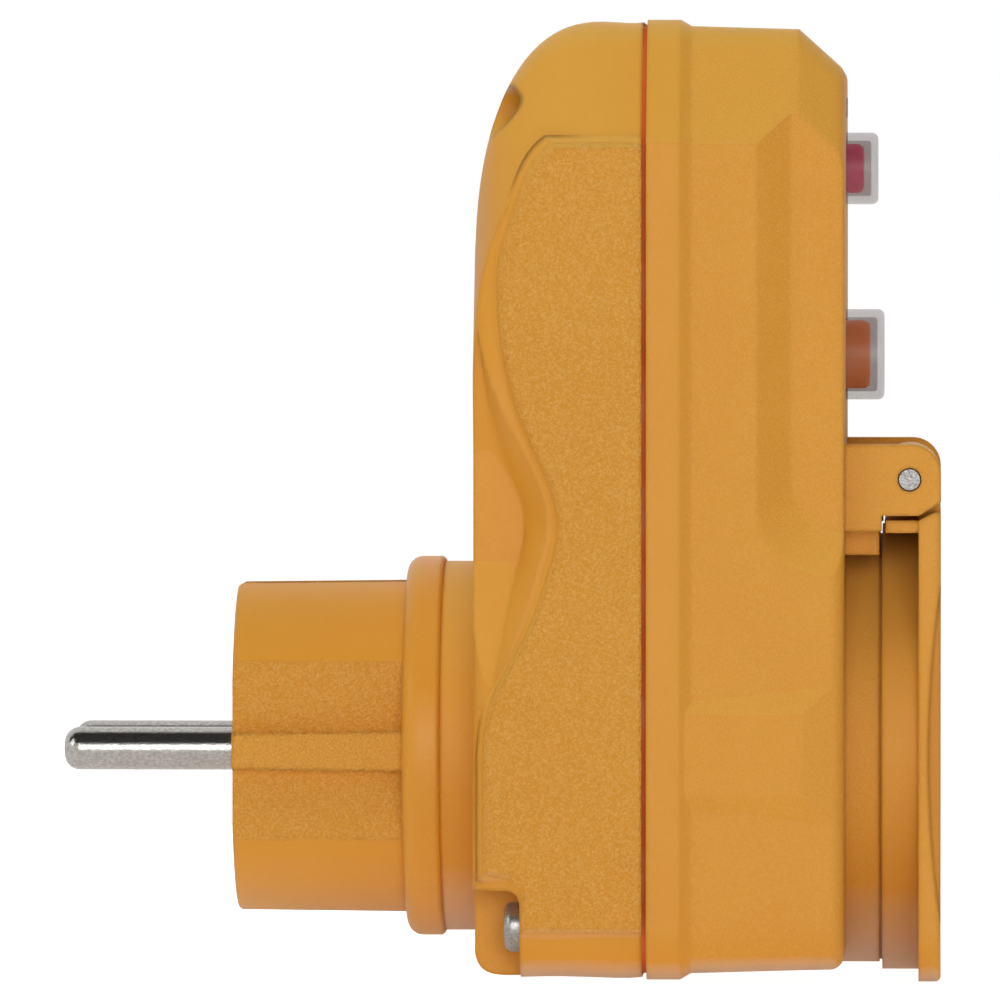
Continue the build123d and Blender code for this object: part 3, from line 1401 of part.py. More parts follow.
with BuildPart() as latch_lever:
    lever_start = COIL_X - LEVER_HALF_DEPTH
    lever_end = COIL_X + LEVER_HALF_DEPTH
    eye_end = COIL_Y + LEVER_EYE + LEVER_ARM
    add(rod(LEVER_HUB, lever_start, lever_end, LEVER_PIVOT_Y, LEVER_PIVOT_Z))
    nose_y = LEVER_PIVOT_Y - LEVER_HUB
    nose_z = LEVER_PIVOT_Z - LEVER_NOSE
    add(slab((lever_start, lever_end), (nose_y, nose_y + LEVER_ARM), (nose_z, LEVER_PIVOT_Z)))
    eye_depth = LEVER_EYE + LEVER_ARM
    tail = (lever_low, LEVER_PIVOT_Z + LEVER_TAIL_HALF)
    add(slab((COIL_X - eye_depth, COIL_X + eye_depth), (LEVER_PIVOT_Y + LEVER_HUB / 2, eye_end), tail))
    add(upright(LEVER_EYE, lever_low - OVERRUN, COIL_START), mode=Mode.SUBTRACT)
    bore = (PIVOT_RADIUS + FIT, lever_start - OVERRUN, lever_end + OVERRUN)
    add(rod(*bore, LEVER_PIVOT_Y, LEVER_PIVOT_Z), mode=Mode.SUBTRACT)

latch_lever.part.label = "latch_lever"
export_step(latch_lever.part, "parts/latch_lever.step")

with BuildPart() as latch_pivot_pin:
    add(rod(PIVOT_RADIUS, BOARD_FRONT, FRAME_START, LEVER_PIVOT_Y, LEVER_PIVOT_Z))

latch_pivot_pin.part.label = "latch_pivot_pin"
export_step(latch_pivot_pin.part, "parts/latch_pivot_pin.step")
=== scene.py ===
import math

import bmesh
import bpy
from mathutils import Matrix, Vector


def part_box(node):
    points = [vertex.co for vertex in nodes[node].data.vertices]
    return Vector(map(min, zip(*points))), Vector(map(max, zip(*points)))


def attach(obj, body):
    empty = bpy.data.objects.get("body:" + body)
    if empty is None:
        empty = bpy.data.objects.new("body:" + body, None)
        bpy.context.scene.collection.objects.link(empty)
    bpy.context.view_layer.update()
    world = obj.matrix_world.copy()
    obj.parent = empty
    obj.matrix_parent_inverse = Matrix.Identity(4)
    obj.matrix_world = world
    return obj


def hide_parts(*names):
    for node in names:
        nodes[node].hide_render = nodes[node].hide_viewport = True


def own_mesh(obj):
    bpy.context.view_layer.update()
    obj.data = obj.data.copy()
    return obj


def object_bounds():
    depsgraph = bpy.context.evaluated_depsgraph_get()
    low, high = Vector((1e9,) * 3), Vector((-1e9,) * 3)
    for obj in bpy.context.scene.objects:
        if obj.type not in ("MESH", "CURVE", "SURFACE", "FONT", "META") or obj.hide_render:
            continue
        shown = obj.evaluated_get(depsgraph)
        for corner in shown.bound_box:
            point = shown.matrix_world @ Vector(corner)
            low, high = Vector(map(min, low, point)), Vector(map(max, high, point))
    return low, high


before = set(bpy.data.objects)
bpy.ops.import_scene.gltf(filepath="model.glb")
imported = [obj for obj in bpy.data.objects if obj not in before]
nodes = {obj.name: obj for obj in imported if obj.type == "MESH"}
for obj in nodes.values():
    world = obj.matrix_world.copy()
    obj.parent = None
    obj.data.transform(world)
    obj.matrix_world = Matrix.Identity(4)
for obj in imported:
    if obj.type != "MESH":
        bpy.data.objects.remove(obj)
cad_low, cad_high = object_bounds()
MM = 0.001

# Camera: a long lens that looks at the left side, a little from the front and from above
CAMERA_TARGET = Vector((29.12, 0, 27.44)) * MM
CAMERA_SIDE = Vector((0.034, -1, 0.0211))
CAMERA_DISTANCE = 1430 * MM
CAMERA_LENS = 460.7
CAMERA_SENSOR = 36.0
CAMERA_CLIP = (0.05, 50.0)


def make_camera():
    """Camera at the photograph's viewing angle"""
    data = bpy.data.cameras.new("camera")
    data.lens = CAMERA_LENS
    data.sensor_width = CAMERA_SENSOR
    data.clip_start, data.clip_end = CAMERA_CLIP
    camera = bpy.data.objects.new("camera", data)
    camera.location = CAMERA_TARGET + CAMERA_SIDE * CAMERA_DISTANCE
    camera.rotation_mode = "QUATERNION"
    camera.rotation_quaternion = (-CAMERA_SIDE).to_track_quat("-Z", "Y")
    bpy.context.scene.collection.objects.link(camera)
    bpy.context.scene.camera = camera


make_camera()

# Shader nodes. Colours are linear red, green and blue with an alpha of one.
WHITE = (1.0, 1.0, 1.0, 1.0)
CELL_SMOOTHNESS = 0.6
BEVEL_SAMPLES = 4
# Places of the two colours and of their blend among the sockets of a mix node
MIX_COLOURS = (6, 7)
MIX_RESULT = 2


def node_tree(owner):
    """Emptied node tree of a material or world"""
    owner.use_nodes = True
    owner.node_tree.nodes.clear()
    return owner.node_tree


def link(tree, source, output, target, socket):
    """Join an output of one node to a socket of another"""
    tree.links.new(source.outputs[output], target.inputs[socket])


def ramp(tree, value, low, high, start, end):
    """Value mapped from low and high to start and end"""
    node = tree.nodes.new("ShaderNodeMapRange")
    node.inputs["From Min"].default_value = low
    node.inputs["From Max"].default_value = high
    node.inputs["To Min"].default_value = start
    node.inputs["To Max"].default_value = end
    tree.links.new(value, node.inputs["Value"])
    return node.outputs[0]


def maths(tree, operation, first, second=0.0):
    """Result of a math node on two values, each a number or an output"""
    node = tree.nodes.new("ShaderNodeMath")
    node.operation = operation
    for socket, value in zip(node.inputs, (first, second)):
        if isinstance(value, (int, float)):
            socket.default_value = value
        else:
            tree.links.new(value, socket)
    return node.outputs[0]


def along_axis(tree, vector, axis):
    """One coordinate of a vector"""
    split = tree.nodes.new("ShaderNodeSeparateXYZ")
    tree.links.new(vector, split.inputs[0])
    return split.outputs[axis]


def blend_colours(tree, factor, first, second):
    """Blend of two colours, each a tuple or an output"""
    node = tree.nodes.new("ShaderNodeMix")
    node.data_type = "RGBA"
    tree.links.new(factor, node.inputs["Factor"])
    for place, value in zip(MIX_COLOURS, (first, second)):
        if isinstance(value, tuple):
            node.inputs[place].default_value = value
        else:
            tree.links.new(value, node.inputs[place])
    return node.outputs[MIX_RESULT]


def mix_shaders(tree, factor, first, second):
    """Shader that is first where factor is zero and second where it is one"""
    mix = tree.nodes.new("ShaderNodeMixShader")
    tree.links.new(factor, mix.inputs[0])
    link(tree, first, 0, mix, 1)
    link(tree, second, 0, mix, 2)
    return mix


def white_light(tree, kind, strength):
    """White background or emission node"""
    node = tree.nodes.new(kind)
    node.inputs["Color"].default_value = WHITE
    node.inputs["Strength"].default_value = strength
    return node


def either(tree, *flags):
    """One where any of these outputs of a light path is one"""
    path = tree.nodes.new("ShaderNodeLightPath")
    total = path.outputs[flags[0]]
    for flag in flags[1:]:
        total = maths(tree, "MAXIMUM", total, path.outputs[flag])
    return total


def noise(tree, place, size, detail=2.0, rough=0.5):
    """Noise texture whose features are about size across"""
    texture = tree.nodes.new("ShaderNodeTexNoise")
    texture.inputs["Detail"].default_value = detail
    texture.inputs["Roughness"].default_value = rough
    texture.inputs["Scale"].default_value = 1 / size
    tree.links.new(place, texture.inputs["Vector"])
    return texture.outputs[0]


def cell_noise(tree, place, size):
    """Soft cells about size across"""
    texture = tree.nodes.new("ShaderNodeTexVoronoi")
    texture.feature = "SMOOTH_F1"
    texture.inputs["Smoothness"].default_value = CELL_SMOOTHNESS
    texture.inputs["Scale"].default_value = 1 / size
    tree.links.new(place, texture.inputs["Vector"])
    return texture.outputs[0]


def rounded(tree, radius):
    """Normal of an edge that is rounded by radius"""
    node = tree.nodes.new("ShaderNodeBevel")
    node.samples = BEVEL_SAMPLES
    node.inputs["Radius"].default_value = radius
    return node.outputs[0]


def bump(tree, height, depth, normal=None):
    """Normal of a surface whose relief is up to depth high"""
    node = tree.nodes.new("ShaderNodeBump")
    node.inputs["Strength"].default_value = 1.0
    node.inputs["Distance"].default_value = depth
    tree.links.new(height, node.inputs["Height"])
    if normal is not None:
        tree.links.new(normal, node.inputs["Normal"])
    return node.outputs[0]


# Studio: pale floor, white surroundings and soft lamps. Sizes and places are in metres.
SKY_STRENGTH = 0.14
BACKDROP_WHITE = 1.0
MIRRORED_WHITE = 0.9
CARD_WHITE = 0.05
# The card covers the directions whose Z is above the first range and whose Y is below the second
CARD_HIGH = (0.36, 0.46)
CARD_NEAR = (0.1, 0.2)
FLOOR_HALF = 12.0
FLOOR_DROP = 0.0005
FLOOR_COLOUR = (0.92, 0.92, 0.92, 1.0)
FLOOR_GLOW = 0.9
FLOOR_BOUNCE = 0.25
# Each lamp's name, place from the middle of the object, size, watts, and if it shows in what shines
LAMPS = (
    ("key", (-1.0, -0.6, 0.55), 0.6, 1.9, True),
    ("front", (0.12, -1.2, 0.1), 0.6, 5.2, True),
    ("right", (0.9, -0.8, 0.0), 0.6, 0.5, True),
    ("back", (0.2, 1.0, 0.7), 0.9, 4.5, False),
    ("top", (-0.2, -0.3, 1.15), 0.7, 5.0, False),
)


def dark_card(tree):
    """One in the directions of a dark card that hangs high on the camera's side of the object"""
    direction = tree.nodes.new("ShaderNodeTexCoord").outputs["Generated"]
    high = ramp(tree, along_axis(tree, direction, "Z"), *CARD_HIGH, 0.0, 1.0)
    near = ramp(tree, along_axis(tree, direction, "Y"), *CARD_NEAR, 1.0, 0.0)
    return maths(tree, "MULTIPLY", high, near)


def make_world():
    """White to look at, softer as a light, with a dark card in what shines"""
    world = bpy.data.worlds.new("studio")
    bpy.context.scene.world = world
    tree = node_tree(world)
    lit, seen, mirrored, card = (
        white_light(tree, "ShaderNodeBackground", strength)
        for strength in (SKY_STRENGTH, BACKDROP_WHITE, MIRRORED_WHITE, CARD_WHITE)
    )
    glossy = either(tree, "Is Glossy Ray")
    total = mix_shaders(tree, glossy, lit, mirrored)
    total = mix_shaders(tree, maths(tree, "MULTIPLY", glossy, dark_card(tree)), total, card)
    total = mix_shaders(tree, either(tree, "Is Camera Ray", "Is Transmission Ray"), total, seen)
    output = tree.nodes.new("ShaderNodeOutputWorld")
    link(tree, total, 0, output, 0)


def make_floor():
    """Pale floor that keeps a soft shadow"""
    level = cad_low.z - FLOOR_DROP
    corners = [(x * FLOOR_HALF, y * FLOOR_HALF, level) for x, y in ((-1, -1), (1, -1), (1, 1), (-1, 1))]
    mesh = bpy.data.meshes.new("floor")
    mesh.from_pydata(corners, [], [(0, 1, 2, 3)])
    floor = bpy.data.objects.new("floor", mesh)
    bpy.context.scene.collection.objects.link(floor)
    material = bpy.data.materials.new("floor_pale")
    tree = node_tree(material)
    matte = tree.nodes.new("ShaderNodeBsdfDiffuse")
    matte.inputs["Color"].default_value = FLOOR_COLOUR
    shades = []
    for strength in (FLOOR_BOUNCE, FLOOR_GLOW):
        shade = tree.nodes.new("ShaderNodeAddShader")
        link(tree, matte, 0, shade, 0)
        link(tree, white_light(tree, "ShaderNodeEmission", strength), 0, shade, 1)
        shades.append(shade)
    output = tree.nodes.new("ShaderNodeOutputMaterial")
    seen = either(tree, "Is Camera Ray", "Is Transmission Ray")
    link(tree, mix_shaders(tree, seen, *shades), 0, output, 0)
    mesh.materials.append(material)


def make_lamps():
    """Large soft lamps round the object"""
    middle = (cad_low + cad_high) / 2
    for name, place, size, power, mirrored in LAMPS:
        data = bpy.data.lights.new(name, "AREA")
        data.shape = "DISK"
        data.size = size
        data.energy = power
        lamp = bpy.data.objects.new(name, data)
        lamp.location = middle + Vector(place)
        lamp.visible_glossy = mirrored
        lamp.rotation_mode = "QUATERNION"
        lamp.rotation_quaternion = (-Vector(place)).to_track_quat("-Z", "Y")
        bpy.context.scene.collection.objects.link(lamp)


make_world()
make_floor()
make_lamps()
bpy.context.scene.view_settings.view_transform = "Standard"


def srgb(red, green, blue):
    """Linear colour of a screen colour in steps of 0 to 255"""
    out = []
    for step in (red, green, blue):
        share = step / 255
        out.append(share / 12.92 if share <= 0.04045 else ((share + 0.055) / 1.055) ** 2.4)
    return (*out, 1)


# Range of a noise texture that holds most of its values
NOISE_RANGE = (0.3, 0.7)

# Orange plastic
SHELL_COLOUR = srgb(220, 150, 40)
SHELL_DEEP = srgb(212, 138, 30)
SHELL_PALE = srgb(233, 180, 98)
# Painted light: a paler tone for faces that look up stands for light from above, and a pale pink for faces
# that look down stands for the floor's bounce
SHELL_PAINTED_TOP_LIGHT = srgb(228, 176, 78)
SHELL_PAINTED_FLOOR_BOUNCE = srgb(214, 180, 150)
SHELL_PATCH = 14 * MM
SHELL_DEEP_SHARE = 0.35
SPECKLE = 0.24 * MM
SPECKLE_RANGE = (0.42, 0.68)
SPECKLE_SHARE = (0.1, 0.6)
# Ranges of the outward normal's Z over which the painted top light and the painted floor bounce set in
PAINTED_TOP_LIGHT_RANGE = (0.1, 0.8)
PAINTED_TOP_LIGHT_SHARE = 0.8
PAINTED_BOUNCE_RANGE = (-0.6, -0.98)
PAINTED_BOUNCE_SHARE = 0.9
COARSE_GRAIN = 0.20 * MM
COARSE_CELLS = 0.26 * MM
FINE_GRAIN = 0.15 * MM
FINE_SHARE = 0.35
GRAIN_DEPTH = 0.13 * MM
SHELL_ROUGH = (0.42, 0.62)
UNEVEN_SHARE = 0.4
COLLAR_ROUGH = (0.32, 0.5)
EDGE_ROUND = 0.8 * MM

# Where the coarse grain is
RIM_LEVEL = 50.4 * MM
RIM_FADE = 0.8 * MM
RIM_GRAIN = 0.3
PAD_LEVEL = 31.55 * MM
PLUG_RADIUS = 18.8 * MM
PLUG_FLAT = 16.0 * MM
GRAIN_FADE = 0.3 * MM

# Other materials
PLAIN_PATCH = 4 * MM
PLAIN_SHARE = 0.4
PLAIN_GRAIN = 0.3 * MM
RUBBER_GRAIN = 0.2 * MM
PLAIN_DEPTH = 0.01 * MM
PLAIN_GLOSS = (0.8, 1.25)
METAL_MARKS = 0.25 * MM
METAL_MARK_RANGE = (0.35, 0.62)
METAL_BLOTCH = 2 * MM
METAL_BLOTCH_SHARE = 0.6
METAL_DEPTH = 0.02 * MM
METAL_ROUND = 0.1 * MM
METAL_GLOSS = (1.5, 0.8)
SILICONE_CLOUD = 2.5 * MM
SILICONE_SHARE = 0.5
SILICONE_GRAIN = 0.15 * MM
SILICONE_DEPTH = 0.006 * MM
SILICONE_ALPHA = 0.36
SILICONE_ROUGH = (0.26, 0.36)
CRIMSON = srgb(226, 34, 100)
AMBER = srgb(248, 126, 20)
BUTTON_ROUGH = 0.35
# Painted light: the buttons glow a little, standing for light that comes through their caps
BUTTON_PAINTED_GLOW = 0.35


def new_material(name):
    """Material, its emptied node tree and its place in the object"""
    material = bpy.data.materials.new(name)
    tree = node_tree(material)
    return material, tree, tree.nodes.new("ShaderNodeTexCoord").outputs["Object"]


def surface(tree, colour, rough, normal, **values):
    """Principled shader with a linked colour, roughness and normal, and other sockets set by name"""
    principled = tree.nodes.new("ShaderNodeBsdfPrincipled")
    output = tree.nodes.new("ShaderNodeOutputMaterial")
    link(tree, principled, 0, output, 0)
    for name, value in values.items():
        principled.inputs[name.replace("_", " ")].default_value = value
    tree.links.new(colour, principled.inputs["Base Color"])
    tree.links.new(rough, principled.inputs["Roughness"])
    tree.links.new(normal, principled.inputs["Normal"])


def shell_plastic(name, coarse, fine=1.0, painted_light=1.0, rough=SHELL_ROUGH):
    """Spark-eroded orange plastic: coarse says where the coarse grain is, as a function of the tree"""
    material, tree, place = new_material(name)
    large = noise(tree, place, SHELL_PATCH, detail=3.0)
    speckle = noise(tree, place, SPECKLE, rough=0.7)
    grit = noise(tree, place, COARSE_GRAIN, rough=0.6)
    cells = cell_noise(tree, place, COARSE_CELLS)
    dust = noise(tree, place, FINE_GRAIN, rough=0.6)
    mask = coarse(tree, place)

    deep = ramp(tree, large, *NOISE_RANGE, 0.0, SHELL_DEEP_SHARE)
    tone = blend_colours(tree, deep, SHELL_COLOUR, SHELL_DEEP)
    pale = ramp(tree, speckle, *SPECKLE_RANGE, 0.0, 1.0)
    pale = maths(tree, "MULTIPLY", pale, ramp(tree, mask, 0.0, 1.0, *SPECKLE_SHARE))
    tone = blend_colours(tree, pale, tone, SHELL_PALE)
    upright = along_axis(tree, tree.nodes.new("ShaderNodeNewGeometry").outputs["Normal"], "Z")
    # Painted light: faces that look up are tinted paler as if lit from above, and faces that look down pale
    # pink as if lit by the floor
    tone = blend_colours(tree, ramp(tree, upright, *PAINTED_TOP_LIGHT_RANGE, 0.0, PAINTED_TOP_LIGHT_SHARE * painted_light), tone, SHELL_PAINTED_TOP_LIGHT)
    tone = blend_colours(tree, ramp(tree, upright, *PAINTED_BOUNCE_RANGE, 0.0, PAINTED_BOUNCE_SHARE * painted_light), tone, SHELL_PAINTED_FLOOR_BOUNCE)

    heavy = maths(tree, "MULTIPLY", maths(tree, "ADD", grit, cells), mask)
    height = maths(tree, "ADD", heavy, maths(tree, "MULTIPLY", dust, FINE_SHARE * fine))
    normal = bump(tree, height, GRAIN_DEPTH, rounded(tree, EDGE_ROUND))
    uneven = maths(tree, "ADD", mask, maths(tree, "MULTIPLY", large, UNEVEN_SHARE))
    gloss = ramp(tree, uneven, 0.0, 1.0 + UNEVEN_SHARE, *rough)
    surface(tree, tone, gloss, normal, Specular_IOR_Level=0.35, IOR=1.5)
    return material


def step_mask(tree, value, level, width):
    """One where value is above level, with a soft edge"""
    return ramp(tree, value, level - width / 2, level + width / 2, 0.0, 1.0)


def constant(value):
    """Coarse grain everywhere by a fixed amount"""

    def mask(tree, place):
        node = tree.nodes.new("ShaderNodeValue")
        node.outputs[0].default_value = value
        return node.outputs[0]

    return mask


def pad_mask(tree, place):
    """Coarse grain on the raised side pads of the rear half"""
    across = maths(tree, "ABSOLUTE", along_axis(tree, place, "Y"))
    return step_mask(tree, across, PAD_LEVEL, GRAIN_FADE)


def front_mask(tree, place):
    """Light grain on the front half, up to the smooth rim at the seam"""
    beyond = step_mask(tree, along_axis(tree, place, "X"), RIM_LEVEL, RIM_FADE)
    return maths(tree, "MULTIPLY", beyond, RIM_GRAIN)


def plug_mask(tree, place):
    """Coarse grain on the plug's flats and guide ribs"""
    height = maths(tree, "ABSOLUTE", along_axis(tree, place, "Z"))
    flat = math.sqrt(PLUG_RADIUS**2 - PLUG_FLAT**2)
    return maths(tree, "SUBTRACT", 1.0, step_mask(tree, height, flat, GRAIN_FADE))


def plain(name, colour, second, rough, grain=PLAIN_GRAIN, **values):
    """Material with a second tone in large patches, uneven gloss and a fine grain"""
    material, tree, place = new_material(name)
    patches = noise(tree, place, PLAIN_PATCH, detail=3.0)
    dust = noise(tree, place, grain)
    tone = blend_colours(tree, ramp(tree, patches, *NOISE_RANGE, 0.0, PLAIN_SHARE), colour, second)
    gloss = ramp(tree, patches, *NOISE_RANGE, *(rough * factor for factor in PLAIN_GLOSS))
    surface(tree, tone, gloss, bump(tree, dust, PLAIN_DEPTH), **values)
    return material


def turned_metal(name, dark, light, rough, along=1.0):
    """Plated metal, mottled by drawing marks that are stretched along X where along is under 1"""
    material, tree, place = new_material(name)
    stretch = tree.nodes.new("ShaderNodeMapping")
    stretch.inputs["Scale"].default_value = (along, 1, 1)
    tree.links.new(place, stretch.inputs["Vector"])
    marks = noise(tree, stretch.outputs[0], METAL_MARKS, detail=5.0, rough=0.7)
    blotch = noise(tree, place, METAL_BLOTCH)
    tone = blend_colours(tree, ramp(tree, marks, *METAL_MARK_RANGE, 0.0, 1.0), dark, light)
    gloss = ramp(tree, marks, *NOISE_RANGE, *(rough * factor for factor in METAL_GLOSS))
    height = maths(tree, "ADD", marks, maths(tree, "MULTIPLY", blotch, METAL_BLOTCH_SHARE))
    normal = bump(tree, height, METAL_DEPTH, rounded(tree, METAL_ROUND))
    surface(tree, tone, gloss, normal, Metallic=1.0)
    return material


def silicone(name, colour, second):
    """Frosted silicone that lets light through"""
    material, tree, place = new_material(name)
    cloud = noise(tree, place, SILICONE_CLOUD, detail=3.0)
    dust = noise(tree, place, SILICONE_GRAIN)
    tone = blend_colours(tree, ramp(tree, cloud, *NOISE_RANGE, 0.0, SILICONE_SHARE), colour, second)
    gloss = ramp(tree, cloud, *NOISE_RANGE, *SILICONE_ROUGH)
    normal = bump(tree, dust, SILICONE_DEPTH)
    surface(tree, tone, gloss, normal, Alpha=SILICONE_ALPHA, Specular_IOR_Level=0.6)
    return material


def button(name, colour, second):
    """Coloured button with a painted glow that stands for light coming through its cap"""
    return plain(name, colour, second, BUTTON_ROUGH, Emission_Color=colour, Emission_Strength=BUTTON_PAINTED_GLOW)


# The shells get the full painted top light and floor bounce, and the plug and the collar a fifth of it
rear_plastic = shell_plastic("rear_shell_plastic", pad_mask, fine=0.8)
front_plastic = shell_plastic("front_shell_plastic", front_mask)
plug_plastic = shell_plastic("plug_plastic", plug_mask, fine=0.6, painted_light=0.2)
smooth_plastic = shell_plastic("collar_plastic", constant(0.04), fine=0.7, painted_light=0.2, rough=COLLAR_ROUGH)
lid_plastic = shell_plastic("lid_plastic", constant(0.12), fine=0.9)
seal_rubber = plain("seal_rubber", srgb(206, 96, 30), srgb(184, 78, 24), 0.7, RUBBER_GRAIN)
nickel = turned_metal("nickel_plate", (0.36, 0.34, 0.32, 1), (0.56, 0.54, 0.51, 1), 0.14, along=0.6)
pin_steel = turned_metal("pin_steel", (0.20, 0.19, 0.18, 1), (0.30, 0.29, 0.28, 1), 0.4)
steel = turned_metal("zinc_steel", (0.26, 0.25, 0.24, 1), (0.44, 0.43, 0.42, 1), 0.28)
brass = plain("contact_brass", (0.72, 0.52, 0.22, 1), (0.60, 0.40, 0.15, 1), 0.3, Metallic=1.0)
copper = plain("winding_copper", (0.75, 0.33, 0.16, 1), (0.60, 0.22, 0.09, 1), 0.3, Metallic=1.0)
wire_brown = plain("wire_brown", (0.14, 0.05, 0.02, 1), (0.10, 0.035, 0.015, 1), 0.4)
wire_blue = plain("wire_blue", (0.02, 0.09, 0.40, 1), (0.015, 0.06, 0.28, 1), 0.4)
board_green = plain("board_green", (0.01, 0.12, 0.04, 1), (0.02, 0.16, 0.05, 1), 0.35)
core_grey = plain("ferrite", (0.05, 0.05, 0.055, 1), (0.08, 0.08, 0.085, 1), 0.6)
part_black = plain("moulded_black", (0.02, 0.02, 0.02, 1), (0.035, 0.035, 0.035, 1), 0.5)
part_blue = plain("lacquer_blue", (0.02, 0.07, 0.30, 1), (0.03, 0.10, 0.36, 1), 0.3)
led_red = plain("led_red", (0.60, 0.02, 0.015, 1), (0.50, 0.015, 0.01, 1), 0.2)
lens_clear = silicone("lens_frosted", (0.30, 0.30, 0.28, 1), (0.24, 0.24, 0.22, 1))
inner_grey = plain("inner_plastic", (0.45, 0.45, 0.44, 1), (0.38, 0.38, 0.37, 1), 0.5)
cap_silicone = silicone("cap_silicone", (0.20, 0.13, 0.12, 1), (0.15, 0.10, 0.09, 1))
button_pink = button("button_crimson", CRIMSON, srgb(206, 22, 84))
button_red = button("button_orange", AMBER, srgb(236, 104, 14))

LOOKS = {
    rear_plastic: ("rear_housing",),
    front_plastic: ("front_housing",),
    plug_plastic: ("plug_body",),
    smooth_plastic: ("plug_seal_ring", "socket_insert"),
    lid_plastic: ("lid",),
    seal_rubber: ("housing_gasket", "lid_gasket"),
    nickel: ("plug_pin_left", "plug_pin_right", "plug_earth_bracket"),
    pin_steel: ("hinge_pin",),
    steel: (
        "lid_spring", "housing_screws", "board_screws", "latch_pivot_pin", "test_return_spring",
        "reset_return_spring", "armature_spring", "trip_armature", "trip_coil_yoke",
    ),
    brass: (
        "socket_contact_left", "socket_contact_right", "socket_earth_bracket", "fixed_contacts",
        "moving_contacts", "test_contact_spring",
    ),
    copper: ("earth_conductor", "transformer_winding", "trip_coil_winding"),
    wire_brown: ("live_conductor",),
    wire_blue: ("neutral_conductor",),
    board_green: ("circuit_board",),
    core_grey: ("current_transformer_core",),
    part_black: ("control_chip", "capacitor", "rectifier_diodes"),
    part_blue: ("varistor", "board_resistors"),
    led_red: ("status_led",),
    lens_clear: ("indicator_lens",),
    inner_grey: ("button_frame", "contact_carrier", "latch_lever", "trip_coil_bobbin"),
    button_pink: ("test_plunger",),
    button_red: ("reset_plunger",),
}


def paint(piece, material):
    """The piece shows one material"""
    piece.data.materials.clear()
    piece.data.materials.append(material)


for material, names in LOOKS.items():
    for name in names:
        paint(nodes[name], material)


def new_piece(name, shape, material, body, slot, *replaced):
    """Piece from a bmesh that rides on a body and stands for CAD nodes"""
    mesh = bpy.data.meshes.new(name)
    shape.to_mesh(mesh)
    shape.free()
    piece = bpy.data.objects.new(name, mesh)
    bpy.context.scene.collection.objects.link(piece)
    paint(piece, material)
    mesh.polygons.foreach_set("use_smooth", [True] * len(mesh.polygons))
    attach(piece, body)
    if replaced:
        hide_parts(*replaced)
    return piece


# Soft caps over the buttons
CAP_WALL = 0.9 * MM
CAP_TOP = 0.8 * MM
CAP_FLANGE = 1.0 * MM
CAP_FLANGE_THICKNESS = 1.0 * MM
CAP_EDGE = 0.7 * MM
CAP_ARC_STEPS = 6
CAP_ROUND_STEPS = 96


def revolve(profile, centre):
    """Closed surface of revolution along X, from points of distance along X and radius, 0 at a pole"""
    shape = bmesh.new()
    rings = []
    for along, radius in profile:
        loop = []
        for count in range(CAP_ROUND_STEPS if radius else 1):
            angle = 2 * math.pi * count / CAP_ROUND_STEPS
            across = centre[0] + radius * math.sin(angle)
            loop.append(shape.verts.new((along, across, centre[1] + radius * math.cos(angle))))
        rings.append(loop * (1 if radius else CAP_ROUND_STEPS))
    for first, second in zip(rings, rings[1:]):
        for count in range(CAP_ROUND_STEPS):
            after = (count + 1) % CAP_ROUND_STEPS
            corners = dict.fromkeys((first[count], first[after], second[after], second[count]))
            shape.faces.new(list(corners))
    bmesh.ops.recalc_face_normals(shape, faces=shape.faces)
    return shape


def arc(centre, radius, start, end):
    """Points of an arc in distance along X and radius, angles in degrees from the X axis"""
    points = []
    for count in range(CAP_ARC_STEPS + 1):
        angle = math.radians(start + (end - start) * count / CAP_ARC_STEPS)
        points.append((centre[0] + radius * math.cos(angle), centre[1] + radius * math.sin(angle)))
    return points


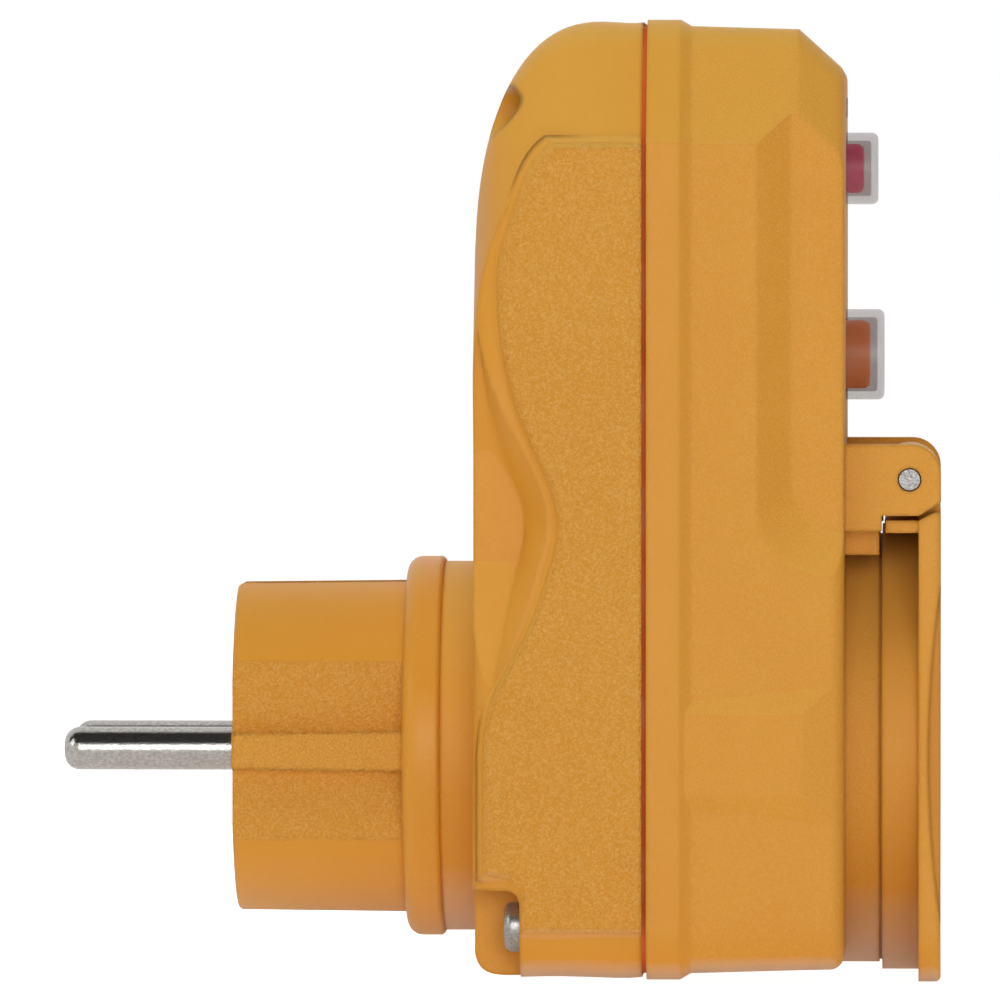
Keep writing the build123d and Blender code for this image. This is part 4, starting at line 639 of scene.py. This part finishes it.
def soft_cap(name):
    """Frosted cap with a rounded top and a flange behind the front face"""
    node = f"{name}_button_cap"
    low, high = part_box(node)
    middle = ((low.y + high.y) / 2, (low.z + high.z) / 2)
    outer = (high.z - low.z) / 2 - CAP_FLANGE
    inner = outer - CAP_WALL
    face = high.x - CAP_TOP
    profile = [(high.x, 0)]
    profile += arc((high.x - CAP_EDGE, outer - CAP_EDGE), CAP_EDGE, 0, 90)
    profile += [(low.x + CAP_FLANGE_THICKNESS, outer), (low.x + CAP_FLANGE_THICKNESS, outer + CAP_FLANGE)]
    profile += [(low.x, outer + CAP_FLANGE), (low.x, inner)]
    profile += arc((face - CAP_EDGE / 2, inner - CAP_EDGE / 2), CAP_EDGE / 2, 90, 0)
    profile += [(face, 0)]
    shape = revolve(profile, middle)
    piece = new_piece(f"{name}_cap_soft", shape, cap_silicone, "housing", "cap_frosted", node)
    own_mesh(piece)


soft_cap("test")
soft_cap("reset")

# Coil springs, which the moving parts press together
RETURN_WIRE = 0.22 * MM
RETURN_TURNS = 5
ARMATURE_WIRE = 0.2 * MM
ARMATURE_TURNS = 4
COIL_STEPS = 32
WIRE_STEPS = 10
X_AXIS = 0
Z_AXIS = 2


def coil(start, end, radius, wire, turns):
    """Wire wound round the line from start to end, wire and radius measured to the wire's middle line"""
    line = end - start
    along = line.normalized()
    across = along.orthogonal().normalized()
    third = along.cross(across)
    shape = bmesh.new()
    loops = []
    count = turns * COIL_STEPS
    for step in range(count + 1):
        angle = 2 * math.pi * step / COIL_STEPS
        outward = across * math.cos(angle) + third * math.sin(angle)
        middle = start + along * (wire + (line.length - 2 * wire) * step / count) + outward * radius
        loop = []
        for part in range(WIRE_STEPS):
            turn = 2 * math.pi * part / WIRE_STEPS
            place = middle + outward * wire * math.cos(turn) + along * wire * math.sin(turn)
            loop.append(shape.verts.new(place))
        loops.append(loop)
    for first, second in zip(loops, loops[1:]):
        for part in range(WIRE_STEPS):
            after = (part + 1) % WIRE_STEPS
            shape.faces.new((first[part], first[after], second[after], second[part]))
    shape.faces.new(loops[0])
    shape.faces.new(loops[-1])
    bmesh.ops.recalc_face_normals(shape, faces=shape.faces)
    return shape


def pressed_spring(node, axis, wire, turns):
    """Coil in the place of a spring's node, wound along the given axis"""
    low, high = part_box(node)
    start = (low + high) / 2
    end = start.copy()
    start[axis] = low[axis]
    end[axis] = high[axis]
    other = (axis + 1) % 3
    radius = (high[other] - low[other]) / 2 - wire
    piece = new_piece(f"{node}_coil", coil(start, end, radius, wire, turns), steel, "housing", "steel", node)
    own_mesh(piece)


pressed_spring("test_return_spring", X_AXIS, RETURN_WIRE, RETURN_TURNS)
pressed_spring("reset_return_spring", X_AXIS, RETURN_WIRE, RETURN_TURNS)
pressed_spring(
    "armature_spring", Z_AXIS,
    ARMATURE_WIRE, ARMATURE_TURNS,
)
